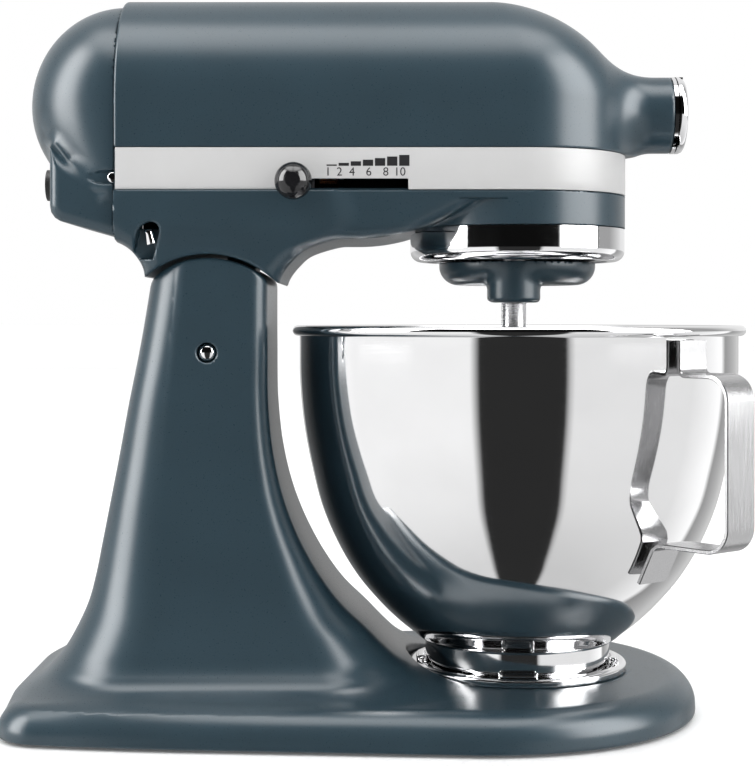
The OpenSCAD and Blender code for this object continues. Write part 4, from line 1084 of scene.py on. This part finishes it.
class MIXER_OT_handle(bpy.types.Operator):
    """Builds the bowl's strap handle with its spot welds"""
    bl_idname = "mixer.handle"
    bl_label = "Bowl handle"

    def execute(self, context):
        bowl = context.scene.mixer_bowl
        width, thick = bowl.handle_width / MM, bowl.handle_thickness / MM
        reach, bend, top, low = 138.0, 10.0, 166.6, 91.0
        tab = float(wall_radius(176)) + 0.15 + thick
        lean = (0.8765 - 0.775) * RIM_R / 22
        def low_out(z):
            return 0.775 * RIM_R + 0.9 + (z - 72) * lean + thick * math.hypot(1, lean)
        path = [(tab, 183.4), (tab, 179), (tab, top + 5)]
        path += arc_points(4.6, 180, 270, 8, (tab + 4.6, top + 4.6))[1:]
        path += [(tab + 8, top), (reach - bend - 4, top)]
        path += arc_points(bend, 90, 0, 10, (reach - bend, top - bend))
        path += [(reach, 140), (reach, 118)]
        path += arc_points(bend, 0, -90, 10, (reach - bend, low + bend))
        path += [(reach - bend - 8, low), (low_out(low) + 8, low)]
        path += [(low_out(low) + 2.4, low - 0.4), (low_out(low - 2.6) + 0.2, low - 2.6),
                 (low_out(80), 80), (low_out(72), 72)]
        points, faces = strap(path, width, thick)
        turn = Matrix.Rotation(math.radians(-50), 3, "Z")
        points = [tuple(turn @ Vector(p)) for p in points]
        obj = creases(clean(solid("handle_strap", points, faces)), 30)
        weld = loose(lathe("weld_shape", [
            (0, -0.3), (1.7, -0.3), (1.7, 0.0), (1.3, 0.16), (0.7, 0.05), (0, -0.02)], 20))
        places = []
        for z, r, tilt in ((179.5, tab, 90), (76.5, low_out(76.5), 90 + math.degrees(math.atan(lean)))):
            for side in (-4.6, 4.6):
                spot = turn @ Vector((r, side, z))
                places.append((tuple(spot), (0, tilt, -50), (1, 1, 1)))
        welds = copies("handle_welds", weld, places, "handle_steel")
        dress(join("bowl_handle_strap", [obj, welds]), "handle_steel", "bowl", "bowl_handle")
        return {"FINISHED"}


class MIXER_OT_inner(bpy.types.Operator):
    """Gives every CAD part that stays shown its own finish"""
    bl_idname = "mixer.inner"
    bl_label = "Inner parts"

    def execute(self, context):
        given = {entry["node"]: entry["material_slot"] for entry in frame["record"]["subparts"]}
        made = finishes()
        for name, obj in frame["nodes"].items():
            if obj.hide_render:
                continue
            obj.data.materials.clear()
            obj.data.materials.append(made[given[name]])
        return {"FINISHED"}


def glow(azimuth, elevation, softbox):
    """Brightness that gloss sees in one direction; azimuth 0 is towards the lens, positive to the right."""
    def band(v, low, high, soft):
        return min(max((v - low) / soft + 0.5, 0), 1) * min(max((high - v) / soft + 0.5, 0), 1)
    side = abs(azimuth)
    if elevation < 0.6:
        bright = 1.14 if azimuth < 0 else 0.98
        fade = 1 - 0.25 * min(max((-elevation - 20) / 40, 0), 1)
        return max(0.03, fade * (bright * band(azimuth, -125, -25, 3) + bright * band(azimuth, 22, 125, 3)
                                 + 0.72 * band(side, 125, 181, 60)))
    value = 0.42 if side > 90 else 0.10
    value += 0.5 * band(side, 125, 181, 30)
    value *= 1 - 0.95 * band(azimuth, -60, 44, 4)
    strength = softbox * band(elevation, -30, 54, 12)
    value = max(value, strength * band(azimuth, -92, -60, 5))
    value = max(value, 0.85 * strength * band(azimuth, 44, 88, 4))
    value = max(value, softbox * 0.5 * band(elevation, 58, 92, 12) * band(side, -1, 110, 40))
    return value


class MIXER_OT_stage(bpy.types.Operator):
    """Sets out the pale floor, soft studio light and the camera"""
    bl_idname = "mixer.stage"
    bl_label = "Stage"

    def execute(self, context):
        scene = context.scene
        stage = scene.mixer_stage
        floor = bpy.data.meshes.new("floor")
        s = 40
        floor.from_pydata([(-s, -s, 0), (s, -s, 0), (s, s, 0), (-s, s, 0)], [], [(0, 1, 2, 3)])
        floor_obj = own("floor", floor)
        pale = bpy.data.materials.new("pale floor")
        pale.use_nodes = True
        shader = pale.node_tree.nodes["Principled BSDF"]
        shader.inputs["Base Color"].default_value = (0.95, 0.95, 0.95, 1)
        shader.inputs["Roughness"].default_value = 0.6
        shader.inputs["Emission Color"].default_value = (1, 1, 1, 1)
        shader.inputs["Emission Strength"].default_value = 0.07
        floor.materials.append(pale)
        floor_obj.visible_glossy = False

        rows, columns, radius = 180, 144, 6.0
        points, faces, values = [], [], []
        for i in range(rows + 1):
            e = math.radians(-90 + 180 * i / rows)
            for k in range(columns):
                a = 2 * math.pi * k / columns - math.pi
                points.append((radius * math.cos(e) * math.sin(a), -radius * math.cos(e) * math.cos(a),
                               0.15 + radius * math.sin(e)))
                values.append(glow(math.degrees(a), math.degrees(e), stage.softbox))
        for i in range(rows):
            for k in range(columns):
                n = (k + 1) % columns
                faces.append((i * columns + k, (i + 1) * columns + k, (i + 1) * columns + n, i * columns + n))
        mesh = bpy.data.meshes.new("soft_light_shell")
        mesh.from_pydata(points, [], faces)
        mesh.attributes.new("glow", "FLOAT", "POINT").data.foreach_set("value", values)
        shell = own("soft_light_shell", mesh)
        shine = bpy.data.materials.new("soft light")
        shine.use_nodes = True
        tree = shine.node_tree
        tree.nodes.clear()
        emit = tree.nodes.new("ShaderNodeEmission")
        read = tree.nodes.new("ShaderNodeAttribute")
        read.attribute_name = "glow"
        out = tree.nodes.new("ShaderNodeOutputMaterial")
        tree.links.new(read.outputs["Fac"], emit.inputs["Strength"])
        tree.links.new(emit.outputs[0], out.inputs["Surface"])
        mesh.materials.append(shine)
        shell.visible_camera = shell.visible_diffuse = shell.visible_shadow = False
        shell.visible_transmission = shell.visible_volume_scatter = False

        world = scene.world or bpy.data.worlds.new("World")
        scene.world = world
        world.use_nodes = True
        back = world.node_tree.nodes["Background"]
        back.inputs["Color"].default_value = (1, 1, 1, 1)
        back.inputs["Strength"].default_value = 1.0
        for name, place, size, power in (
                ("key", (-1.1, -1.3, 1.3), 1.2, 8), ("fill", (1.3, -1.0, 0.9), 1.2, 5),
                ("top", (0.0, 0.3, 1.9), 1.6, 9)):
            lamp = bpy.data.lights.new(name, "AREA")
            lamp.shape, lamp.size, lamp.energy = "DISK", size, power
            obj = bpy.data.objects.new(name, lamp)
            obj.location = place
            obj.rotation_euler = (Vector((0, 0, 0.17)) - Vector(place)).to_track_quat("-Z", "Y").to_euler()
            obj.visible_glossy = obj.visible_camera = False
            scene.collection.objects.link(obj)

        lens = bpy.data.cameras.new("camera")
        lens.sensor_width, lens.lens = 36, 80.5
        lens.shift_y, lens.clip_end = -0.0849, 60
        eye = bpy.data.objects.new("camera", lens)
        eye.location = (BOWL_X - 0.070, -stage.camera_distance, stage.camera_height)
        eye.rotation_euler = (math.radians(90), 0, 0)
        scene.collection.objects.link(eye)
        scene.camera = eye
        scene.view_settings.view_transform = "Standard"
        scene.view_settings.look = "None"
        return {"FINISHED"}


BUILD = (
    MIXER_OT_column, MIXER_OT_feet, MIXER_OT_clamp, MIXER_OT_hinge, MIXER_OT_head, MIXER_OT_cover,
    MIXER_OT_case, MIXER_OT_band, MIXER_OT_marks, MIXER_OT_drive_end, MIXER_OT_hub, MIXER_OT_controls,
    MIXER_OT_bowl, MIXER_OT_handle, MIXER_OT_inner, MIXER_OT_stage,
)


class MIXER_PT_panel(bpy.types.Panel):
    """Sizes, finishes and the button for each piece"""
    bl_idname = "MIXER_PT_panel"
    bl_label = "Stand Mixer"
    bl_space_type = "VIEW_3D"
    bl_region_type = "UI"
    bl_category = "Mixer"

    def draw(self, context):
        for label, attr in (("Castings", "mixer_body"), ("Bowl", "mixer_bowl"),
                            ("Controls", "mixer_controls"), ("Stage", "mixer_stage")):
            box = self.layout.box()
            box.label(text=label)
            values = getattr(context.scene, attr)
            for key in values.__annotations__:
                box.prop(values, key)
        for piece in BUILD:
            self.layout.operator(piece.bl_idname)


CLASSES = (MixerBody, MixerBowl, MixerControls, MixerStage, *BUILD, MIXER_PT_panel)


def register():
    for item in CLASSES:
        bpy.utils.register_class(item)
    bpy.types.Scene.mixer_body = bpy.props.PointerProperty(type=MixerBody)
    bpy.types.Scene.mixer_bowl = bpy.props.PointerProperty(type=MixerBowl)
    bpy.types.Scene.mixer_controls = bpy.props.PointerProperty(type=MixerControls)
    bpy.types.Scene.mixer_stage = bpy.props.PointerProperty(type=MixerStage)


def unregister():
    for attr in ("mixer_body", "mixer_bowl", "mixer_controls", "mixer_stage"):
        delattr(bpy.types.Scene, attr)
    for item in reversed(CLASSES):
        bpy.utils.unregister_class(item)


def main():
    register()
    for piece in BUILD:
        group_name, action = piece.bl_idname.split(".")
        getattr(getattr(bpy.ops, group_name), action)()


if __name__ == "__main__":
    main()
